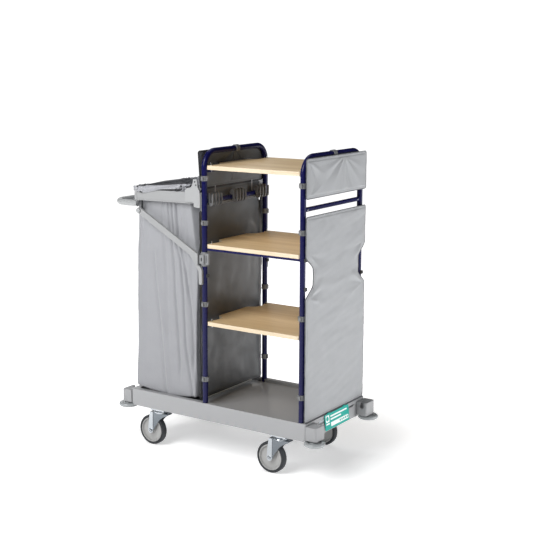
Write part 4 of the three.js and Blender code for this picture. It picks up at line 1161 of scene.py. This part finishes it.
# ---- laundry bag --------------------------------------------------------------------------
BAG_FOLDS = (
    # (height, place along the side) down each fold, then its half width and depth
    (((1040, -214), (893, -202), (795, -168), (675, -154), (450, -146), (268, -112)), 5, -9.0),
    (((1040, -200), (893, -189), (795, -155), (675, -141), (450, -131), (268, -98)), 8, 5.0),
    (((1040, -190), (895, -177), (760, -140), (600, -116), (420, -104)), 4.5, -8.0),
    (((1040, -181), (895, -167), (760, -129), (600, -106)), 6, 3.0),
    (((1040, -232), (932, -221), (780, -203), (600, -190), (380, -176)), 5, -7.0),
    (((820, -302), (659, -287), (515, -274), (245, -246)), 5, -4.6),
    (((820, -290), (659, -275), (515, -260), (245, -230)), 9, 3.2),
    (((1040, -160), (900, -138), (800, -122)), 7, 3.0),
    (((1040, -262), (900, -252), (700, -240), (500, -232)), 8, -4.0),
    (((1000, -372), (900, -366), (830, -374)), 6, -4.0),
    (((1040, -330), (900, -338), (700, -346), (420, -352)), 14, -3.0),
)
BAG_LOW, BAG_HIGH = 240, 1040
BAG_MIDDLE_X = -235
BAG_CORNER = 4
BAG_CLOTH, HEM_CLOTH = 1.2, 0.9
BAG_RELIEF_LIMIT = 5.5
HEM_OUTER_LIMIT = 234.5
TOP_TUCK = {"z": 823, "x": -87, "slope": 0.15, "fall": 1.8}


def route_at(route, z):
    """Where a fold is at a height: straight between its points, and steady beyond its ends."""
    for (z0, a0), (z1, a1) in zip(route, route[1:]):
        if z >= z1:
            return a1 + (a0 - a1) * (min(z, z0) - z1) / (z0 - z1)
    return route[-1][1]


def bag_relief(x, y, z, side):
    """How far the cloth stands out from the flat at a place on the bag."""
    share = (BAG_HIGH - z) / (BAG_HIGH - BAG_LOW)
    along = x if side in ("front", "back") else -240 + y * 0.62
    if side == "back":
        along = 2 * BAG_MIDDLE_X - x
    relief = 0.0
    for route, width, depth in BAG_FOLDS:
        fade = ease((route[0][0] + 25 - z) / 50) * ease((z - route[-1][0] + 110) / 110)
        sway = 1.5 * math.sin(z / 60 + route[0][1])
        relief += depth * fade * bell(along, route_at(route, z) + sway, width * (1 + 0.5 * share))
    belly = 6 * math.sin(math.pi * min(1.0, share * 0.9 + 0.05)) * (1 if side in ("left", "right") else 0.3)
    loose = 2.0 * cloud(x, y, z * 0.5, 70, 21) + 0.8 * cloud(x, y, z, 28, 5) * ease(share * 3)
    return relief + belly + loose


def tucked(point, half):
    """Near the arch the bag's front corner is drawn in under its arm, along a slanting crease."""
    x, y, z = point
    above = z - TOP_TUCK["z"]
    drawn_in = TOP_TUCK["fall"] * (x - TOP_TUCK["x"] + TOP_TUCK["slope"] * above)
    if above < 0 or drawn_in < 0 or y > 0:
        return point
    return (x, max(y, y + (drawn_in - half - y) * ease(above / 50)), z)


def base_sag(x):
    """The base hangs lower in its middle than at its corners."""
    return 17 * (abs(x + 234) / 150) ** 1.4 - 13


def laundry_bag():
    lo, hi = node_box("laundry_bag")
    low, high = lo.z, hi.z - 2
    rows = [low + (high - low) * (k / 150) for k in range(151)]
    rings = []
    for z in rows:
        x0 = -380 - 0.0185 * (high - z) - 6 * ease((478 - z) / 233)
        x1 = hi.x - 2 + 9 * ease((z - 520) / 320)
        half = hi.y - 3
        tuck = 2 * (1 - ease((z - low) / 6))
        ring = []
        for u, v in ring_points(x0 + tuck, x1 - tuck, half - tuck, BAG_CORNER):
            ring.append(tucked(push_out(u, v, z, x0, x1, half, BAG_CORNER), half))
        rings.append(ring)
    count = len(rings[0])
    points = [(x, y, z + base_sag(x) * (1 - ease((z - low) / 110))) for ring in rings for x, y, z in ring]
    faces = []
    for row in range(len(rows) - 1):
        here, there = row * count, (row + 1) * count
        faces += [(here + k, here + (k + 1) % count, there + (k + 1) % count, there + k)
                  for k in range(count)]
    bottom = points[:count]
    middle = (sum(p[0] for p in bottom) / count, 0, low + 1)
    for step in (0.9, 0.6, 0.3):
        start = len(points)
        previous = start - count if step < 0.9 else 0
        points += [(middle[0] + (x - middle[0]) * step, y * step, low + 1 + (z - low - 1) * step)
                   for x, y, z in bottom]
        faces += [(previous + (k + 1) % count, previous + k, start + k, start + (k + 1) % count)
                  for k in range(count)]
    points.append(middle)
    faces += [(start + (k + 1) % count, start + k, len(points) - 1) for k in range(count)]
    bag = link("bag_cloth", Shape().add(points, faces).mesh("bag"))
    bag.data.shade_smooth()
    thicken(bag, BAG_CLOTH, -1)
    finish_piece(bag, BAG, ["laundry_bag"])
    base_seam(points[:count])


def ring_points(x0, x1, half, corner):
    """A rectangle with round corners, as evenly spaced points from its front left."""
    left, right, front, back = x0 + corner, x1 - corner, -half + corner, half - corner
    sides = ((left, -half, right, -half, 118, (right, front, 270)),
             (x1, front, x1, back, 96, (right, back, 0)),
             (right, half, left, half, 118, (left, back, 90)),
             (x0, back, x0, front, 96, (left, front, 180)))
    ring = []
    for a, b, c, d, count, (u, v, start) in sides:
        ring += [(a + (c - a) * k / count, b + (d - b) * k / count) for k in range(count)]
        ring += arc(u, v, corner, start, start + 90, 6)[:-1]
    return ring


def push_out(u, v, z, x0, x1, half, corner):
    """Moves a point of the bag square to its wall by the relief there."""
    inner = (min(max(u, x0 + corner), x1 - corner), min(max(v, -half + corner), half - corner))
    away = Vector((u - inner[0], v - inner[1]))
    if away.length < 1e-6:
        return (u, v, z)
    away.normalize()
    flat_x, flat_y = abs(away.y), abs(away.x)
    relief = flat_x ** 3 * bag_relief(u, v, z, "front" if v < 0 else "back")
    relief += flat_y ** 3 * bag_relief(u, v, z, "left" if u < 0 and away.x < 0 else "right")
    bound = min(relief, BAG_RELIEF_LIMIT)
    return (u + away.x * bound, v + away.y * bound, z)


def base_seam(ring):
    """The piped seam just above the bag's base."""
    route = [(x, y, z + 4) for x, y, z in ring][::2]
    cord("bag_base_piping", route, 1.6, 8, BAG)


def bag_hem():
    """The mouth of the bag, gathered over both arms and crumpled as it turns down outside."""
    lo, hi = node_box("bag_hem")
    x0, x1 = lo.x + 5, hi.x - 3
    half_in, half_out = 203, hi.y - 1.5
    ring_count, section_steps = 600, 26
    points, faces = [], []
    for k in range(ring_count):
        t = 2 * math.pi * k / ring_count
        cu, cv = math.cos(t), math.sin(t)
        power = 0.16
        u = math.copysign(abs(cu) ** power, cu)
        v = math.copysign(abs(cv) ** power, cv)
        on_side = ease((abs(v) - 0.86) / 0.1)
        for j in range(section_steps + 1):
            s = j / section_steps
            points.append(hem_point(u, v, s, on_side, x0, x1, half_in, half_out))
    for k in range(ring_count):
        here, there = k * (section_steps + 1), ((k + 1) % ring_count) * (section_steps + 1)
        faces += [(here + j, there + j, there + j + 1, here + j + 1) for j in range(section_steps)]
    hem = link("bag_mouth", Shape().add(points, faces).mesh("hem"))
    hem.data.shade_smooth()
    thicken(hem, HEM_CLOTH, 0)
    finish_piece(hem, HEM, ["bag_hem"])


def crease(x, y, z, size, seed):
    """Sharp-backed random wrinkles from about -1 to 1."""
    return 1 - 3.6 * abs(cloud(x, y, z, size, seed))


def hem_point(u, v, s, on_side, x0, x1, half_in, half_out):
    """A point of the hem: s runs from inside the bag, over the arm's top, down the outside."""
    mid_x, half_x = (x0 + x1) / 2, (x1 - x0) / 2
    over = ease(s / 0.42)
    x = mid_x + u * (half_x - 9 * (1 - over))
    y = v * (half_in + (half_out - half_in) * over * on_side)
    crest = 1079 + 0.1 * max(0, x + 368) * on_side
    inside = -36 * (1 - ease(s / 0.34))
    side_hang = 17 + 9 * bell(x, -310, 40) - 12 * ease((x + 158) / 14)
    hang = side_hang * on_side + 12 * (1 - on_side)
    z = crest + inside - hang * ease((s - 0.5) / 0.5) - 2 * (1 - on_side) * bell(v, 0, 0.75)
    crumple = 3.2 * crease(x, y, z, 17, 31) + 2.2 * crease(x + z, y - z, z, 9, 14)
    lift = 2.0 * crease(x, y * 0.5, z, 26, 8) + 1.2 * crease(x, y, z, 12, 3)
    free = ease(s / 0.12) * 0.8 + 0.2
    push = crumple * free * (1 + 1.8 * (1 - over))
    y_out = math.copysign(min(abs(y) + push * on_side, HEM_OUTER_LIMIT), v)
    return (x + math.copysign(push * (1 - on_side), u), y_out, z + lift * free)


def hem_clips():
    clips = Shape()
    for side in SIDES.values():
        for x, z in ((-361, 1081), (-344, 1060), (-167, 1080), (-140, 1096)):
            clips.slab("Y", rounded(x - 3.5, x + 3.5, z - 3.5, z + 3.5, 2, 4), out(side, (229, 235)))
    solid_piece("hem_clips", [clips], DARK, width=0.8, segments=2)


# ---- sign plate ---------------------------------------------------------------------------
def sign():
    """The plate keeps its place and colour. Its print is plain bars and discs."""
    lean = Matrix.Translation((TRAY_HI.x + 4.2, 0, 169.5)) @ Matrix.Rotation(math.radians(-7), 4, "Y")
    plate = Shape().slab("X", rounded(-92, 92, 0, 62, 3), (0, 2.5))
    hooks = [Shape().box((-2.2, 2), (y - 9, y + 9), (62.8, 65)) for y in (-60, 60)]
    lips = [Shape().box((0.5, 2), (y - 9, y + 9), (56, 65)) for y in (-60, 60)]
    bars = Shape()
    for outline in (rounded(-86, -60, 30, 57, 3), rounded(-86, -60, 20, 26, 1.5), rounded(-50, 76, 46, 52, 2),
                    rounded(-50, 30, 34, 40, 2), rounded(-50, 84, 9, 25, 3)):
        bars.slab("X", outline, (2.3, 2.85))
    marks = Shape().slab("X", disc(-74, 44, 9, 24), (2.7, 3.1))
    for y in (20, 34, 48, 62, 76):
        marks.slab("X", disc(y, 17, 4.4, 20), (2.7, 3.05))
    board = link("sign_board", plate.mesh("sign"))
    join(board, *hooks, *lips)
    soften(board, 0.5, 2)
    print_piece, dots = link("sign_bars", bars.mesh("bars")), link("sign_dots", marks.mesh("dots"))
    soften(print_piece, 0)
    soften(dots, 0)
    turned = Matrix.Translation(lean.translation * MM) @ lean.to_3x3().to_4x4()
    for piece in (board, print_piece, dots):
        piece.data.transform(turned)
    finish_piece(board, SIGN, ["sign_plate"])
    finish_piece(print_piece, PRINT, ())
    finish_piece(dots, SIGN, ())


# ---- build --------------------------------------------------------------------------------
tray()
for end_name in ENDS:
    for side_name in SIDES:
        corner_block(end_name, side_name)
        bumper(end_name, side_name)
        caster(end_name, side_name)
    arch(end_name)
    crossbar(end_name)
    tube_clips(end_name)
    top_clip(end_name)
for name in SHELVES:
    shelf(name)
for side_name in SIDES:
    tie_bar(side_name)
    bag_arm(side_name)
    arm_bracket(side_name)
    brace(side_name)
    brace_clamp(side_name)
    pivot_bolt(side_name)
push_handle()
covers()
cover_straps()
for place in ("front", "middle", "back"):
    hook_rack(place)
hook_rail()
laundry_bag()
bag_hem()
hem_clips()
sign()


# ---- floor, light and camera --------------------------------------------------------------
FLOOR_RADIUS, FLOOR_SIDES = 6, 96
FLOOR_GLOW = 0.42
STRAY_LIGHT = 0.05
BACKDROP_GLOW = 1.1


def floor():
    """A round floor. Far from the cart it glows up to white, so that it has no horizon."""
    mesh = bpy.data.meshes.new("floor")
    turns = [math.tau * k / FLOOR_SIDES for k in range(FLOOR_SIDES)]
    rim = [(FLOOR_RADIUS * math.cos(a), FLOOR_RADIUS * math.sin(a), 0) for a in turns]
    mesh.from_pydata(rim, [], [tuple(range(FLOOR_SIDES))])
    ground = link("floor", mesh)
    finish = Finish("floor_white", (0.9, 0.9, 0.9, 1), 0.75)
    finish.put("Specular IOR Level", 0.2)
    finish.put("Emission Color", (1, 1, 1, 1))
    away = finish.node("ShaderNodeVectorMath", Vector=finish.space)
    away.operation = "LENGTH"
    glow = finish.ramp(away.outputs["Value"], 0.42, 1.25, FLOOR_GLOW, BACKDROP_GLOW)
    finish.tree.links.new(glow, finish.shader.inputs["Emission Strength"])
    mesh.materials.append(finish.material)


def soft_light(name, place, target, size, power, color=(1, 1, 1)):
    data = bpy.data.lights.new(name, "AREA")
    data.shape, data.size, data.size_y = "RECTANGLE", size[0], size[1]
    data.energy, data.color = power, color
    lamp = bpy.data.objects.new(name, data)
    bpy.context.scene.collection.objects.link(lamp)
    lamp.location = place
    lamp.rotation_euler = (Vector(target) - Vector(place)).to_track_quat("-Z", "Y").to_euler()


def studio():
    world = bpy.data.worlds.new("studio")
    bpy.context.scene.world = world
    world.use_nodes = True
    sky = world.node_tree.nodes["Background"]
    sky.inputs["Color"].default_value = (1, 1, 1, 1)
    sky.inputs["Strength"].default_value = STRAY_LIGHT
    seen = world.node_tree.nodes.new("ShaderNodeBackground")
    seen.inputs["Color"].default_value = (1, 1, 1, 1)
    seen.inputs["Strength"].default_value = BACKDROP_GLOW
    ray = world.node_tree.nodes.new("ShaderNodeLightPath")
    mix = world.node_tree.nodes.new("ShaderNodeMixShader")
    output = world.node_tree.nodes["World Output"]
    world.node_tree.links.new(ray.outputs["Is Camera Ray"], mix.inputs["Fac"])
    world.node_tree.links.new(sky.outputs[0], mix.inputs[1])
    world.node_tree.links.new(seen.outputs[0], mix.inputs[2])
    world.node_tree.links.new(mix.outputs[0], output.inputs["Surface"])
    middle = (0.05, 0, 0.6)
    soft_light("key", (-0.6, -3.0, 3.0), middle, (2.2, 2.2), 140)
    soft_light("side", (3.1, 1.0, 0.7), (0.4, 0, 0.4), (1.6, 1.6), 44)
    soft_light("overhead", (-0.3, 0.9, 3.6), middle, (1.8, 1.8), 16)
    soft_light("back", (-3.0, 2.6, 2.2), middle, (2.4, 2.4), 20)


def camera():
    """The eye point, the direction it looks in, the lens and the small shift of the framing."""
    data = bpy.data.cameras.new("camera")
    data.sensor_width = 36
    data.lens = 76.58
    data.shift_x, data.shift_y = 0.0616, -0.0636
    data.clip_start, data.clip_end = 0.1, 100
    eye = bpy.data.objects.new("camera", data)
    bpy.context.scene.collection.objects.link(eye)
    turn, down = math.radians(34.70), math.radians(9.25)
    eye.location = (2.6465, -3.843, 1.624)
    eye.rotation_euler = (math.pi / 2 - down, 0, turn)
    bpy.context.scene.camera = eye


floor()
studio()
camera()
bpy.context.scene.view_settings.view_transform = "Standard"
